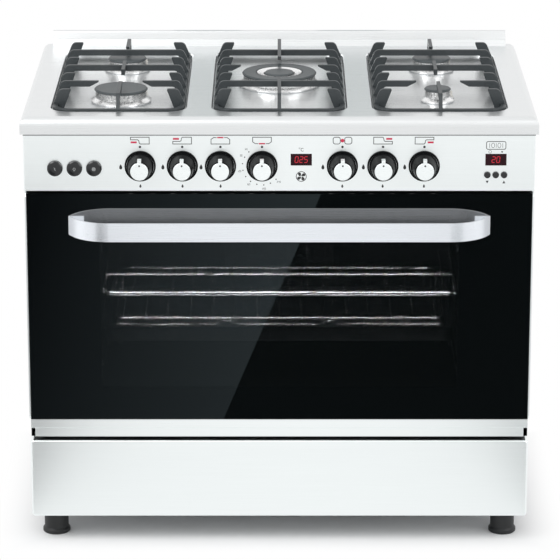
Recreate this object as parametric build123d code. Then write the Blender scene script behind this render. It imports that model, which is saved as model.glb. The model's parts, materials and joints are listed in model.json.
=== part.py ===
"""Free-standing gas cooker: five burners, full-width glass oven door, storage drawer.

Millimetres. X to the right of someone facing the cooker, Y towards the wall behind it, Z up.
The origin is on the floor, under the middle of the cooker's overall box.
"""
import os
from math import pi, radians, sin

from build123d import *

# Overall body
body_width = 900.0
body_depth = 600.0
sheet = 1.2
press_sheet = 2.0
seat_gap = 0.3
running_gap = 0.05
cut_margin = 1.0

# Heights, from the floor up
foot_height = 54.0
drawer_reveal = 1.0
drawer_front_height = 146.0
drawer_gap = 7.0
door_strip_height = 33.0
glass_height = 421.0
panel_gap = 4.0
panel_height = 104.0
hob_height = 30.0
upstand_height = 28.0

# Reach in front of and behind the body
handle_reach = 50.0
inlet_reach = 24.0

# Feet
foot_radius = 22.0
foot_flange_radius = 25.0
foot_flange_height = 9.0
foot_edge = 2.0
foot_inset_x = 40.0
foot_inset_y = 28.0

# Carcass sheets
front_return = 20.0
top_return = 18.0
base_lip = 25.0
louvre_count = 9
louvre_length = 260.0
louvre_height = 13.0
louvre_pitch = 22.0
louvre_lift = 6.0

# Hob
hob_overhang = 5.0
nose_radius = 14.0
well_count = 3
well_length = 485.0
well_gap = 47.0
well_side_margin = 51.0
well_depth = 12.0
well_corner = 34.0
well_rim_radius = 3.0
well_front_margin = 50.0
upstand_inset = 15.0
upstand_depth = 22.0
upstand_fold = 8.0
upstand_rail = 16.0
upstand_rail_radius = 4.0
upstand_lean = 4.0

# Burners: across the cap, and where they stand behind the hob's front edge
rapid_cap_radius = 48.0
semi_rapid_cap_radius = 36.0
auxiliary_cap_radius = 24.0
wok_cap_radius = 68.0
wok_inner_cap_radius = 27.0
wok_ring_width = 26.0
front_burner_setback = 178.0
centre_burner_setback = 308.0
rear_burner_setback = 428.0
cup_depth = 28.0
cup_wall = 1.6
cup_flange = 2.0
cup_inset = 9.0
cup_clearance = 1.0
cup_floor_share = 0.8
cup_bend_share = 0.6
crown_height = 18.0
crown_inset = 1.5
crown_wall = 7.0
crown_taper = 1.0
crown_flare = 8.0
crown_foot = 2.0
crown_waist = 7.0
crown_ledge = 3.0
wok_collar_gap = 1.0
wok_throat = 2.0
wok_collar_slope = 2.5
port_width = 3.0
port_depth = 5.0
port_pitch = 8.0
port_height = 8.0
cap_height = 5.5
cap_edge = 2.0
cap_rise = 0.4
cap_flat_share = 0.6
jet_radius = 8.0
jet_length = 12.0
electrode_radius = 3.0
electrode_collar_radius = 4.5
electrode_collar_height = 2.0
electrode_setoff = 12.5
electrode_taper = 1.0
electrode_below = 22.0
electrode_above = 13.0

# Pan supports
support_clearance = 2.5
support_frame_width = 8.0
support_frame_height = 8.0
support_corner = 32.0
support_pad_height = 7.0
support_pad_inset = 5.0
support_top = 41.0
finger_thickness = 6.5
finger_depth = 10.5
finger_lean = 11.0
finger_root = 9.0
finger_shoulder_radius = 10.0
finger_inner_radius = 7.0
finger_tip_drop = 8.0
finger_pitch = 64.0
leg_reach = 32.0
leg_foot = 19.0
leg_tip_radius = 2.0
pointed_finger = 77.0
wok_finger = 46.0
fore_tip_gap = 18.0
wok_front_gap = 110.0
wok_rear_gap = 54.0
middle_bar_half = 38.0

# Oven cavity
cavity_side_space = 120.0
cavity_height = 368.0
cavity_depth = 430.0
liner_wall = 1.6
mouth_above_hinge = 30.0
sump_depth = 30.0
mouth_corner = 20.0
flange_lap = 12.0
oven_floor_sheet = 1.5
heat_slot_count = 5
heat_slot_width = 9.0
heat_slot_length = 50.0
heat_slot_inset = 24.0
seal_width = 10.0
seal_setoff = 6.0
burner_tube_radius = 9.0
burner_feed_radius = 6.3
burner_leg_x = 130.0
burner_front_gap = 40.0
grill_burner_width = 320.0
grill_burner_length = 210.0
grill_burner_height = 22.0
grill_rib_count = 9
grill_rib_width = 3.0
grill_rib_height = 4.0
grill_setback_share = 0.45
lamp_radius = 22.0
lamp_flange = 4.0
lamp_height = 17.0
lamp_shoulder_radius = 18.7
lamp_shoulder_height = 12.0
lamp_crown_radius = 11.0
lamp_crown_drop = 1.0
lamp_from_wall = 100.0
lamp_drop = 60.0

# Oven door
door_depth = 40.0
door_gap = 6.0
door_side_gap = 3.0
outer_glass = 5.0
inner_glass = 4.0
window_side_margin = 15.0
window_inset = 19.0
glass_lap = 14.0
glass_bevel = 1.0
strip_step = 2.0
strip_notch = 7.0
handle_inset = 79.0
handle_height = 34.0
handle_sheet = 3.0
handle_lean = 26.0
handle_bend_radius = 75.0
handle_below_glass_top = 58.0
handle_tab = 26.0
hinge_above_bottom = 14.0
hinge_behind_front = 14.0
hinge_from_side = 70.0
hinge_lug = 10.0
hinge_lug_radius = 8.0
hinge_pin_radius = 4.0
hinge_side_gap = 1.0
hinge_arm_thickness = 4.0
hinge_arm_height = 70.0
hinge_arm_bridge = 30.0

# Storage drawer
drawer_front_sheet = 1.5
drawer_front_depth = 42.0
drawer_side_gap = 1.0
drawer_corner = 6.0
drawer_edge_radius = 4.0
runner_space = 50.0
drawer_box_depth = 510.0
drawer_box_height = 108.0
drawer_box_lift = 11.0
drawer_rim = 6.0
runner_height = 14.0
runner_lap = 15.0

# Control panel: the knobs and the temperature window lie at shares of the panel's half width
knob_shares = (-0.5438, -0.3789, -0.2298, -0.0676, 0.2464, 0.4044, 0.566)
temperature_display_share = 0.0858
knob_drop = 58.0
timer_from_end = 69.3
display_width = 37.0
display_height = 21.0
display_drop = 46.5
display_thickness = 1.5
button_from_end = 55.3
button_pitch = 34.3
button_drop = 62.0
button_radius = 13.5
button_travel = 3.0
button_reach = 7.0
button_skirt = 6.0
button_stem_radius = 4.0
button_stem_length = 16.0
button_dome_share = 0.3
button_shoulder_share = 0.86
button_crown_share = 0.5
switch_wall = 3.0
switch_depth = 32.0
housing_spare = 1.0
timer_button_pitch = 14.7
timer_button_drop = 74.0
timer_button_radius = 5.6
timer_button_travel = 1.5
timer_button_reach = 4.5
timer_button_skirt = 4.0
timer_stem_radius = 2.0
timer_stem_length = 6.0
module_margin = 7.0
module_depth = 22.0
panel_edge_radius = 2.0
spindle_hole_gap = 2.0
bezel_radius = 27.5
bezel_height = 4.0
bezel_lip = 1.5
knob_base_radius = 24.0
knob_waist_radius = 22.5
knob_face_radius = 17.5
knob_reach = 41.0
knob_skirt = 7.0
knob_edge_radius = 2.5
knob_edge_step = 0.75
knob_standoff = 1.0
bezel_clearance = 0.6
spindle_radius = 4.0
spindle_length = 28.0
pointer_width = 6.5
pointer_length = 20.0
pointer_lift = 2.5
pointer_root = 4.0

# Gas rail and taps
rail_size = 20.0
rail_setback = 70.0
tap_width = 30.0
tap_height = 36.0
tap_chamfer = 5.0
tap_boss_radius = 9.0
tap_front = 20.0
tap_outlet_radius = 5.0
tap_outlet_length = 12.0
inlet_radius = 10.5
inlet_bore = 7.0
inlet_bore_depth = 60.0
inlet_collar = 6.0
inlet_collar_length = 8.0
inlet_from_side = 70.0
spark_box_width = 40.0
spark_box_length = 75.0
spark_box_height = 42.0
spark_box_radius = 4.0
spark_post_radius = 3.0
spark_post_length = 8.0

# Oven fan
fan_radius = 75.0
fan_blades = 12
fan_depth = 22.0
fan_plate = 1.5
fan_wall_gap = 4.0
blade_thickness = 2.0
blade_sink = 0.5
blade_inner_share = 0.55
fan_cover_size = 230.0
fan_cover_depth = 34.0
fan_cover_corner = 30.0
fan_cover_slope = 10.0
fan_slots = 16
fan_slot_width = 5.0
fan_slot_length = 52.5
fan_slot_centre = 45.0
fan_vent_length = 138.0
fan_vent_width = 20.0
fan_vent_height = 10.0
fan_motor_radius = 32.0
fan_motor_length = 55.0
fan_shaft_radius = 4.0
motor_plate = 3.0
motor_ear = 12.0
motor_end = 8.0

# Wire goods
shelf_rod = 3.5
shelf_wire = 2.0
shelf_rear_gap = 12.0
shelf_setback = 24.0
shelf_height = 205.0
shelf_wire_pitch = 35.0
guide_rod = 3.0
guide_sink = 0.6
low_guide_height = 70.0
high_guide_height = 280.0
ladder_inset = 30.0
weld_sink = 1.1
shelf_corner = 14.0
shelf_post_gap = 2.0
pan_height = 28.0
pan_rim_height = 140.0
pan_rim = 10.0
pan_corner = 20.0
pan_sheet = 1.2
pan_wire_count = 15
rack_rod = 2.5
rack_wire = 1.6
rack_leg = 2.0
rack_inset = 18.0
rack_side_inset = 24.0
rack_rise = 12.0

# Places worked out from the sizes above
half_width = body_width / 2
well_width = (body_width + 2 * hob_overhang - 2 * well_side_margin - 2 * well_gap) / well_count
well_pitch = well_width + well_gap
cavity_width = body_width - 2 * cavity_side_space
door_window_width = cavity_width + 2 * window_side_margin
door_window_height = cavity_height - 2 * window_inset
handle_half_span = half_width - handle_inset
hinge_offset_x = half_width - hinge_from_side
drawer_box_width = body_width - 2 * runner_space
knob_places = [share * half_width for share in knob_shares]
temperature_display_x = temperature_display_share * half_width
timer_display_x = half_width - timer_from_end
button_places = [button_from_end + index * button_pitch - half_width for index in range(3)]
front_y = (handle_reach - body_depth - inlet_reach) / 2
back_y = front_y + body_depth
carcass_y = front_y + door_depth + door_gap
base_z = foot_height
drawer_z = base_z + drawer_reveal
drawer_top_z = drawer_z + drawer_front_height
door_z = drawer_top_z + drawer_gap
glass_z = door_z + door_strip_height
door_top_z = glass_z + glass_height
panel_z = door_top_z + panel_gap
panel_top_z = panel_z + panel_height
hob_z = panel_top_z + hob_height
well_floor_z = hob_z - well_depth
hob_front_y = front_y - hob_overhang
well_front_y = hob_front_y + well_front_margin
well_y = well_front_y + well_length / 2
hinge_y = front_y + hinge_behind_front
hinge_z = door_z + hinge_above_bottom
mouth_z = hinge_z + mouth_above_hinge
mouth_top_z = mouth_z + cavity_height
liner_z = mouth_z - sump_depth
cavity_back_y = carcass_y + cavity_depth
shelf_depth = cavity_depth - shelf_setback - fan_cover_depth - shelf_rear_gap
knob_z = panel_top_z - knob_drop
inner_half = half_width - sheet
rail_y = front_y + rail_setback
inlet_x = half_width - inlet_from_side
inlet_z = knob_z
door_half = half_width - door_side_gap
drawer_box_z = drawer_z + drawer_box_lift
fan_z = (mouth_z + mouth_top_z) / 2
guide_x = cavity_width / 2 - 3 * guide_rod - seat_gap + guide_sink


def block(x0, x1, y0, y1, z0, z1):
    """A box between two opposite corners."""
    place = Pos((x0 + x1) / 2, (y0 + y1) / 2, (z0 + z1) / 2)
    return place * Box(x1 - x0, y1 - y0, z1 - z0)


def rod_x(x0, x1, y, z, radius):
    """A round bar along X."""
    return Pos((x0 + x1) / 2, y, z) * Rot(0, 90, 0) * Cylinder(radius, x1 - x0)


def rod_y(x, y0, y1, z, radius):
    """A round bar along Y."""
    return Pos(x, (y0 + y1) / 2, z) * Rot(90, 0, 0) * Cylinder(radius, y1 - y0)


def rod_z(x, y, z0, z1, radius):
    """A round bar along Z."""
    return Pos(x, y, (z0 + z1) / 2) * Cylinder(radius, z1 - z0)


def on_front(x, z, y=front_y):
    """Placement on an upright front face: local X right, local Y up, local Z towards the cook."""
    return Location((x, y, z), (90, 0, 0))


def rounded_slab(width, length, corner, z0, z1, x=0.0, y=0.0):
    """A flat slab with rounded corners, seen from above."""
    return Pos(x, y, z0) * extrude(RectangleRounded(width, length, corner), z1 - z0)


def turned(points):
    """A solid of revolution about local Z from (radius, height) points of a closed outline."""
    outline = make_face(Polyline(*[(radius, 0, height) for radius, height in points], close=True))
    return revolve(outline, Axis.Z)


# Carcass


def side_panels():
    """Two folded side sheets, with inward returns at the front, top and rear edges."""
    return_y = carcass_y + liner_wall
    rear_y = back_y - sheet
    outer_x = -half_width
    fold_x = -inner_half + top_return
    left = block(outer_x, -inner_half, carcass_y, back_y, base_z, panel_top_z)
    left += block(outer_x, -inner_half + front_return, return_y, return_y + sheet, base_z, panel_top_z)
    left += block(outer_x, fold_x, return_y, rear_y, panel_top_z - sheet, panel_top_z)
    left += block(outer_x, fold_x, rear_y - sheet, rear_y, base_z, panel_top_z)
    return [left, mirror(left, Plane.YZ)]


def louvre_wedge(wall, length):
    """A wedge behind the rear sheet that opens downwards; wall is how far it lies inside the hood."""
    outline = Polyline((-2 * wall, 0), (louvre_lift - wall, 0), (0, louvre_height - 2 * wall),
                       (-2 * wall, louvre_height - 2 * wall), close=True)
    return extrude(Plane.YZ * make_face(outline), length / 2, both=True)


def louvre_hood():
    """The outside of one pressed cooling slot."""
    outline = Polyline((-sheet / 2, 0), (louvre_lift, 0), (-sheet / 2, louvre_height), close=True)
    return extrude(Plane.YZ * make_face(outline), louvre_length / 2, both=True)


def back_panel():
    """The rear cover: two columns of louvres and a hole for the gas inlet."""
    panel = block(-inner_half, inner_half, back_y - sheet, back_y, base_z, panel_top_z)
    first_z = (mouth_z + mouth_top_z - (louvre_count - 1) * louvre_pitch) / 2
    for column_x in (-body_width / 4, body_width / 4):
        for row in range(louvre_count):
            place = Pos(column_x, back_y, first_z + row * louvre_pitch)
            panel += place * louvre_hood()
            panel -= place * louvre_wedge(sheet, louvre_length - 2 * sheet)
    panel -= rod_y(inlet_x, back_y - 2 * sheet, back_y + sheet, inlet_z, inlet_radius + seat_gap)
    return panel


def base_tray():
    """The bottom sheet with turned-up side lips."""
    front = carcass_y + liner_wall + sheet
    rear = back_y - 2 * sheet
    tray = block(-inner_half, inner_half, front, rear, base_z, base_z + sheet)
    for side in (-1, 1):
        inner = side * (inner_half - sheet)
        outer = side * inner_half
        tray += block(min(inner, outer), max(inner, outer), front, rear, base_z, base_z + base_lip)
    return tray


def feet():
    """Four round feet, each with a wider flange on the floor."""
    foot = turned([
        (0, 0), (foot_flange_radius - foot_edge, 0), (foot_flange_radius, foot_edge),
        (foot_flange_radius, foot_flange_height - foot_edge), (foot_radius, foot_flange_height + foot_edge),
        (foot_radius, foot_height), (0, foot_height)])
    x = half_width - foot_inset_x
    rows = (carcass_y + foot_inset_y, back_y - foot_inset_y)
    return [Pos(side * x, y, 0) * foot for side in (-1, 1) for y in rows]


# Hob


def well_centres():
    """Where the three sunk wells lie along the hob."""
    return [(index - (well_count - 1) / 2) * well_pitch for index in range(well_count)]


def burner_list():
    """Each burner's place on the hob and its cap radius; the wok burner is last."""
    left, centre, right = well_centres()
    front = hob_front_y + front_burner_setback
    rear = hob_front_y + rear_burner_setback
    return [
        (left, front, rapid_cap_radius),
        (left, rear, semi_rapid_cap_radius),
        (right, front, auxiliary_cap_radius),
        (right, rear, semi_rapid_cap_radius),
        (centre, hob_front_y + centre_burner_setback, wok_cap_radius)]


def electrode_place(x, y, cap_radius):
    """The spark electrode stands beside its burner, diagonally behind it."""
    reach = (cap_radius + electrode_setoff) * sin(radians(45))
    return x + reach, y + reach


def hob_top():
    """The pressed hob: three wells, a rounded nose and an inward flange that sits on the carcass."""
    reach = half_width + hob_overhang
    plate = block(-reach, reach, hob_front_y, back_y, panel_top_z, hob_z)
    top_edges = plate.edges().filter_by(lambda edge: edge.center().Z > hob_z - 1)
    nose = top_edges.sort_by(Axis.Y)[0]
    sides = top_edges.filter_by(Axis.Y)
    plate = fillet([nose] + list(sides), nose_radius)
    hollow = block(-reach + press_sheet, reach - press_sheet, hob_front_y + press_sheet, back_y - press_sheet,
                   panel_top_z + sheet, hob_z - press_sheet)
    hollow_edges = hollow.edges().filter_by(lambda edge: edge.center().Z > hob_z - press_sheet - 1)
    hollow_nose = hollow_edges.sort_by(Axis.Y)[0]
    hollow = fillet([hollow_nose] + list(hollow_edges.filter_by(Axis.Y)), nose_radius - press_sheet)
    for x in well_centres():
        wide = well_width + 2 * press_sheet
        long = well_length + 2 * press_sheet
        hollow -= rounded_slab(wide, long, well_corner + press_sheet, well_floor_z - press_sheet, hob_z,
                               x, well_y)
    plate -= hollow
    inset = hob_overhang + top_return
    plate -= block(-reach + inset, reach - inset, hob_front_y + inset, back_y - inset,
                   panel_top_z, panel_top_z + sheet)
    for x in well_centres():
        plate -= rounded_slab(well_width, well_length, well_corner, well_floor_z, hob_z, x, well_y)
    rims = [edge for edge in plate.edges() if abs(edge.center().Z - hob_z) < 0.01 and well_edge(edge)]
    plate = fillet(rims, well_rim_radius)
    for x, y, cap_radius in burner_list():
        hole = cap_radius - cup_inset + cup_clearance
        plate -= rod_z(x, y, well_floor_z - 2 * press_sheet, well_floor_z + cut_margin, hole)
        spark_x, spark_y = electrode_place(x, y, cap_radius)
        plate -= rod_z(spark_x, spark_y, well_floor_z - 2 * press_sheet, well_floor_z + cut_margin,
                       electrode_radius + seat_gap)
    return plate


def well_edge(edge):
    """True for an edge that belongs to a well's rim and not to the hob's outline."""
    centre = edge.center()
    inside_y = well_front_y - 1 < centre.Y < well_front_y + well_length + 1
    return inside_y and abs(centre.X) < well_pitch + well_width / 2 + 1


def rear_upstand():
    """The low folded strip along the hob's rear edge: a leaning plinth and a rounded rail above it."""
    half = half_width - upstand_inset
    top = hob_z + upstand_height
    step_z = top - upstand_rail
    front = back_y - upstand_depth
    rail_front = front + upstand_fold
    outline = Polyline((front, hob_z), (front + upstand_lean, step_z), (rail_front, step_z),
                       (rail_front + upstand_lean, top), (back_y, top), (back_y, hob_z), close=True)
    strip = extrude(Plane.YZ * make_face(outline), half, both=True)
    rail_edges = strip.edges().filter_by(Axis.X).filter_by(lambda edge: edge.center().Z > top - cut_margin)
    strip = fillet(rail_edges, upstand_rail_radius)
    return strip - block(-half + sheet, half - sheet, front + upstand_lean + sheet, back_y - sheet,
                         hob_z, step_z - sheet)


def burner_cups():
    """Five pressed cups that hang through the hob on their flanges, with the jet boss below."""
    cups = []
    bend_z = -cup_depth * cup_bend_share
    for x, y, cap_radius in burner_list():
        bowl = cap_radius - cup_inset
        floor = bowl * cup_floor_share
        rim = cap_radius - crown_inset + crown_flare - cut_margin
        cups.append(Pos(x, y, well_floor_z) * turned([
            (0, -cup_depth - jet_length), (jet_radius, -cup_depth - jet_length), (jet_radius, -cup_depth),
            (floor, -cup_depth), (bowl, bend_z), (bowl, 0), (rim, 0), (rim, cup_flange),
            (bowl - cup_wall, cup_flange), (bowl - cup_wall, bend_z),
            (floor - cup_wall, cup_wall - cup_depth), (0, cup_wall - cup_depth)]))
    return cups


def crown(outer, inner, flare):
    """A ring of cast aluminium on a flared foot, with flame ports cut round its rim."""
    ring = turned([
        (inner, 0), (outer + flare, 0), (outer + flare, crown_foot), (outer, crown_waist),
        (outer - crown_taper, crown_height), (inner, crown_height)])
    count = int(2 * pi * outer / port_pitch)
    port = block(outer - port_depth, outer + cut_margin, -port_width / 2, port_width / 2,
                 crown_height - port_height, crown_height)
    ports = [Rot(0, 0, 360 * index / count) * port for index in range(count)]
    return ring - ports


def flame_spreaders():
    """The slotted crowns on the cups; the wok burner also has an inner crown and a bright collar round it."""
    seat_z = well_floor_z + cup_flange
    crowns = []
    for x, y, cap_radius in burner_list():
        outer = cap_radius - crown_inset
        inner = cap_radius - cup_inset - cup_wall - crown_wall
        crowns.append(Pos(x, y, seat_z) * crown(outer, inner, crown_flare))
    x, y, wok_radius = burner_list()[-1]
    rim = wok_radius - cup_inset - cup_wall - crown_wall + cut_margin
    low = crown_height - port_height - crown_ledge
    ledge = crown_height - crown_ledge
    collar = wok_radius - wok_ring_width - wok_collar_gap
    collar_top = crown_height + cap_height - wok_collar_gap
    throat = wok_inner_cap_radius + wok_throat
    dish = turned([
        (crown_wall, low - crown_ledge), (rim, low), (rim, ledge), (collar, ledge), (collar, collar_top),
        (throat, collar_top - wok_collar_slope), (throat, low), (crown_wall, low)])
    floor_z = well_floor_z - cup_depth + cup_wall
    stem = turned([
        (crown_wall, floor_z - seat_z), (wok_inner_cap_radius / 2, floor_z - seat_z),
        (wok_inner_cap_radius / 2, cut_margin), (crown_wall, cut_margin)])
    crowns[-1] += Pos(x, y, seat_z) * (
        dish + crown(wok_inner_cap_radius - crown_inset, crown_wall, 0) + stem)
    return crowns


def cap(outer, inner=0.0):
    """An enamelled burner cap with broken edges: a level ring when it has a hole, else slightly domed."""
    side = cap_height - cap_rise
    outline = [(inner, 0), (outer - cap_edge, 0), (outer, cap_edge), (outer, side - cap_edge),
               (outer - cap_edge, side)]
    if inner:
        outline += [(inner + cap_edge, side), (inner, side - cap_edge)]
    else:
        outline += [(outer * cap_flat_share, cap_height), (0, cap_height)]
    return turned(outline)


def burner_caps():
    """Five caps on the crowns; the wok burner carries a ring and a small inner cap."""
    seat_z = well_floor_z + cup_flange + crown_height
    caps = [Pos(x, y, seat_z) * cap(radius) for x, y, radius in burner_list()[:-1]]
    x, y, radius = burner_list()[-1]
    caps.append(Pos(x, y, seat_z) * cap(radius, radius - wok_ring_width))
    caps.append(Pos(x, y, seat_z) * cap(wok_inner_cap_radius))
    return caps


def spark_electrodes():
    """Ceramic spark pins that stand on the well floor on a collar."""
    pins = []
    for x, y, radius in burner_list():
        spark_x, spark_y = electrode_place(x, y, radius)
        pins.append(Pos(spark_x, spark_y, well_floor_z) * turned([
            (0, -electrode_below), (electrode_radius, -electrode_below), (electrode_radius, 0),
            (electrode_collar_radius, 0), (electrode_collar_radius, electrode_collar_height),
            (electrode_radius, electrode_collar_height),
            (electrode_radius - electrode_taper, electrode_above), (0, electrode_above)]))
    return pins


# Pan supports


def casting(points, rounded):
    """An upright cast plate along +X from a (reach, height) outline; rounded lists corners and radii."""
    profile = make_face(Polyline(*points, close=True))
    for corner, radius in rounded:
        vertex = profile.vertices().sort_by_distance((*corner, 0))[0]
        profile = fillet(vertex, radius)
    return extrude(Plane.XZ * profile, finger_thickness / 2, both=True)


def leg():
    """A short leg from the frame's outer edge: it leans in to a level top, then runs down again."""
    low = support_pad_height
    shoulder = (finger_lean, support_top)
    tip = (leg_reach, support_top)
    points = [(0, low), (0, low + support_frame_height), shoulder, tip, (leg_foot, low)]
    return casting(points, [(shoulder, finger_shoulder_radius), (tip, leg_tip_radius)])


def finger(length, pointed=True):
    """One cast finger from the frame's outer edge: leaning root, rounded shoulder, level top, pointed tip."""
    low = support_pad_height
    frame_top = low + support_frame_height
    under = support_top - finger_depth
    shoulder = (finger_lean, support_top)
    inner = (finger_lean + finger_root, under)
    tip = (length, support_top)
    tip_low = (length, support_top - finger_tip_drop / 4 if pointed else under)
    points = [(0, low), (0, frame_top), shoulder, tip, tip_low]
    if pointed:
        points.append((length - 2 * finger_tip_drop, under))
    points += [inner, (finger_root, frame_top), (finger_root, low)]
    return casting(points, [(shoulder, finger_shoulder_radius), (inner, finger_inner_radius)])


def side_plates(width, plates):
    """Pairs of plates from the left and right of a frame, rear to front."""
    pieces = []
    for index, plate in enumerate(plates):
        y = ((len(plates) - 1) / 2 - index) * finger_pitch
        pieces.append(Pos(-width / 2, y, 0) * plate)
        pieces.append(Pos(width / 2, y, 0) * Rot(0, 0, 180) * plate)
    return pieces


def pan_support(x, plates, rear_reach, front_reach, middle_bar):
    """One cast-iron pan support: frame, side plates, fore-and-aft fingers and pads, as one casting."""
    width = well_width - 2 * support_clearance
    length = well_length - 2 * support_clearance
    low = support_pad_height
    frame = rounded_slab(width, length, support_corner, low, low + support_frame_height)
    inner_corner = support_corner - support_frame_width
    frame -= rounded_slab(width - 2 * support_frame_width, length - 2 * support_frame_width, inner_corner,
                          low, low + support_frame_height)
    pieces = side_plates(width, plates)
    pieces.append(Pos(0, length / 2, 0) * Rot(0, 0, -90) * finger(rear_reach))
    pieces.append(Pos(0, -length / 2, 0) * Rot(0, 0, 90) * finger(front_reach))
    if middle_bar:
        under = support_top - finger_depth
        half = finger_thickness / 2
        pieces.append(block(-half, half, -middle_bar, middle_bar, under, support_top))
    for pad_x in (-1, 1):
        for pad_y in (-1, 1):
            centre_x = pad_x * (width - support_frame_width) / 2
            centre_y = pad_y * (length / 2 - support_corner - support_pad_inset)
            pieces.append(rod_z(centre_x, centre_y, 0, low + cut_margin, support_frame_width / 2))
    return Pos(x, well_y, well_floor_z) * (frame + pieces)


def pan_supports():
    """The three supports, left to right; the outer two bridge two burners, the middle one the wok burner."""
    left, centre, right = well_centres()
    bar = finger(well_width / 2 - support_clearance, pointed=False)
    outer = (leg(), bar, leg(), bar, leg(), finger(pointed_finger), leg())
    middle = (leg(), bar, leg(), finger(wok_finger), leg(), bar, leg())
    long_side = well_length / 2 - support_clearance
    front_burner = well_y - hob_front_y - front_burner_setback
    rear_burner = hob_front_y + rear_burner_setback - well_y
    centre_burner = hob_front_y + centre_burner_setback - well_y
    rear_reach = long_side - rear_burner - fore_tip_gap
    front_reach = long_side - front_burner - fore_tip_gap
    wok_rear = long_side - centre_burner - wok_rear_gap
    wok_front = long_side + centre_burner - wok_front_gap
    return {
        "pan_support_left": pan_support(left, outer, rear_reach, front_reach, middle_bar_half),
        "pan_support_centre": pan_support(centre, middle, wok_rear, wok_front, 0),
        "pan_support_right": pan_support(right, outer, rear_reach, front_reach, middle_bar_half)}


# Oven


def oven_liner():
    """The enamelled oven box, open to the front, with the front flange that closes the carcass."""
    half = cavity_width / 2
    liner = block(-half - liner_wall, half + liner_wall, carcass_y, cavity_back_y + liner_wall,
                  liner_z - liner_wall, mouth_top_z + liner_wall)
    liner += block(-inner_half, inner_half, carcass_y, carcass_y + liner_wall, door_z, panel_z + flange_lap)
    liner -= block(-half, half, carcass_y + liner_wall, cavity_back_y, liner_z, mouth_top_z)
    mouth = extrude(RectangleRounded(cavity_width, cavity_height, mouth_corner), -2 * liner_wall)
    liner -= on_front(0, (mouth_z + mouth_top_z) / 2, carcass_y - liner_wall / 2) * mouth
    liner -= rod_y(0, cavity_back_y - 1, cavity_back_y + 2 * liner_wall, fan_z, fan_shaft_radius + 1)
    return liner


def door_seal():
    """The soft ring round the oven mouth that the door closes on."""
    thickness = door_gap - seat_gap
    inner_width = cavity_width + 2 * seal_setoff
    inner_height = cavity_height + 2 * seal_setoff
    inner_corner = mouth_corner + seal_setoff
    ring = extrude(RectangleRounded(inner_width + 2 * seal_width, inner_height + 2 * seal_width,
                                    inner_corner + seal_width), thickness)
    ring = chamfer(ring.faces().sort_by(Axis.Z)[-1].edges(), seal_width / 4)
    ring -= extrude(RectangleRounded(inner_width, inner_height, inner_corner), thickness)
    return on_front(0, (mouth_z + mouth_top_z) / 2, carcass_y) * ring


def oven_floor():
    """The lift-out floor plate over the oven burner, on turned-down sides, with heat slots."""
    half = cavity_width / 2 - seat_gap
    front = carcass_y + liner_wall + seat_gap
    rear = cavity_back_y - seat_gap
    plate = block(-half, half, front, rear, mouth_z - oven_floor_sheet, mouth_z)
    for side in (-1, 1):
        edge_x = side * (half - oven_floor_sheet / 2)
        skirt = Box(oven_floor_sheet, rear - front, sump_depth)
        plate += Pos(edge_x, (front + rear) / 2, liner_z + sump_depth / 2) * skirt
        for index in range(heat_slot_count):
            y = front + (rear - front) * (index + 0.5) / heat_slot_count
            slot = Box(heat_slot_width, heat_slot_length, 3 * oven_floor_sheet)
            plate -= Pos(side * (half - heat_slot_inset), y, mouth_z) * slot
    return plate


def oven_burner():
    """The twin-leg tube burner under the oven floor, fed through the rear wall."""
    z = liner_z + burner_tube_radius + seat_gap
    front = carcass_y + burner_front_gap
    cross_y = cavity_back_y - burner_front_gap
    burner = rod_x(-burner_leg_x, burner_leg_x, cross_y, z, burner_tube_radius)
    for side in (-1, 1):
        burner += rod_y(side * burner_leg_x, front, cross_y, z, burner_tube_radius)
        burner += Pos(side * burner_leg_x, cross_y, z) * Sphere(burner_tube_radius)
    burner += rod_y(0, cross_y, cavity_back_y, z, burner_feed_radius)
    return burner


def grill_burner():
    """The radiant grill burner on the oven roof: a shallow box with ribs across its mouth."""
    middle_y = carcass_y + cavity_depth * grill_setback_share
    low = mouth_top_z - grill_burner_height
    box = Pos(0, middle_y, low + grill_burner_height / 2) * Box(
        grill_burner_width, grill_burner_length, grill_burner_height)
    box -= Pos(0, middle_y, low + (grill_burner_height - sheet) / 2) * Box(
        grill_burner_width - 2 * sheet, grill_burner_length - 2 * sheet, grill_burner_height - sheet)
    for index in range(grill_rib_count):
        x = grill_burner_width * ((index + 0.5) / grill_rib_count - 0.5)
        box += Pos(x, middle_y, low + grill_rib_height / 2) * Box(
            grill_rib_width, grill_burner_length - sheet, grill_rib_height)
    return box


def oven_lamp():
    """The glass lamp cover on the oven's rear wall."""
    lens = turned([
        (0, 0), (lamp_radius + lamp_flange, 0), (lamp_radius + lamp_flange, lamp_flange),
        (lamp_radius, lamp_flange), (lamp_shoulder_radius, lamp_shoulder_height),
        (lamp_crown_radius, lamp_height - lamp_crown_drop), (0, lamp_height)])
    return on_front(lamp_from_wall - cavity_width / 2, mouth_top_z - lamp_drop, cavity_back_y) * lens


def fan_wheel():
    """The oven fan: a back plate with upright blades on a shaft that runs in the motor."""
    shaft_length = fan_cover_depth / 2 + fan_motor_length / 2 + liner_wall
    plate_y = cavity_back_y - fan_wall_gap
    wheel = rod_y(0, plate_y - fan_plate, plate_y, fan_z, fan_radius)
    wheel += rod_y(0, plate_y - fan_depth, plate_y - fan_depth + shaft_length, fan_z, fan_shaft_radius)
    blade = block(fan_radius * blade_inner_share, fan_radius - blade_thickness, plate_y - fan_depth,
                  plate_y - fan_plate + blade_sink, -blade_thickness / 2, blade_thickness / 2)
    for index in range(fan_blades):
        wheel += Pos(0, 0, fan_z) * Rot(0, 360 * index / fan_blades, 0) * blade
    return wheel


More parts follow.
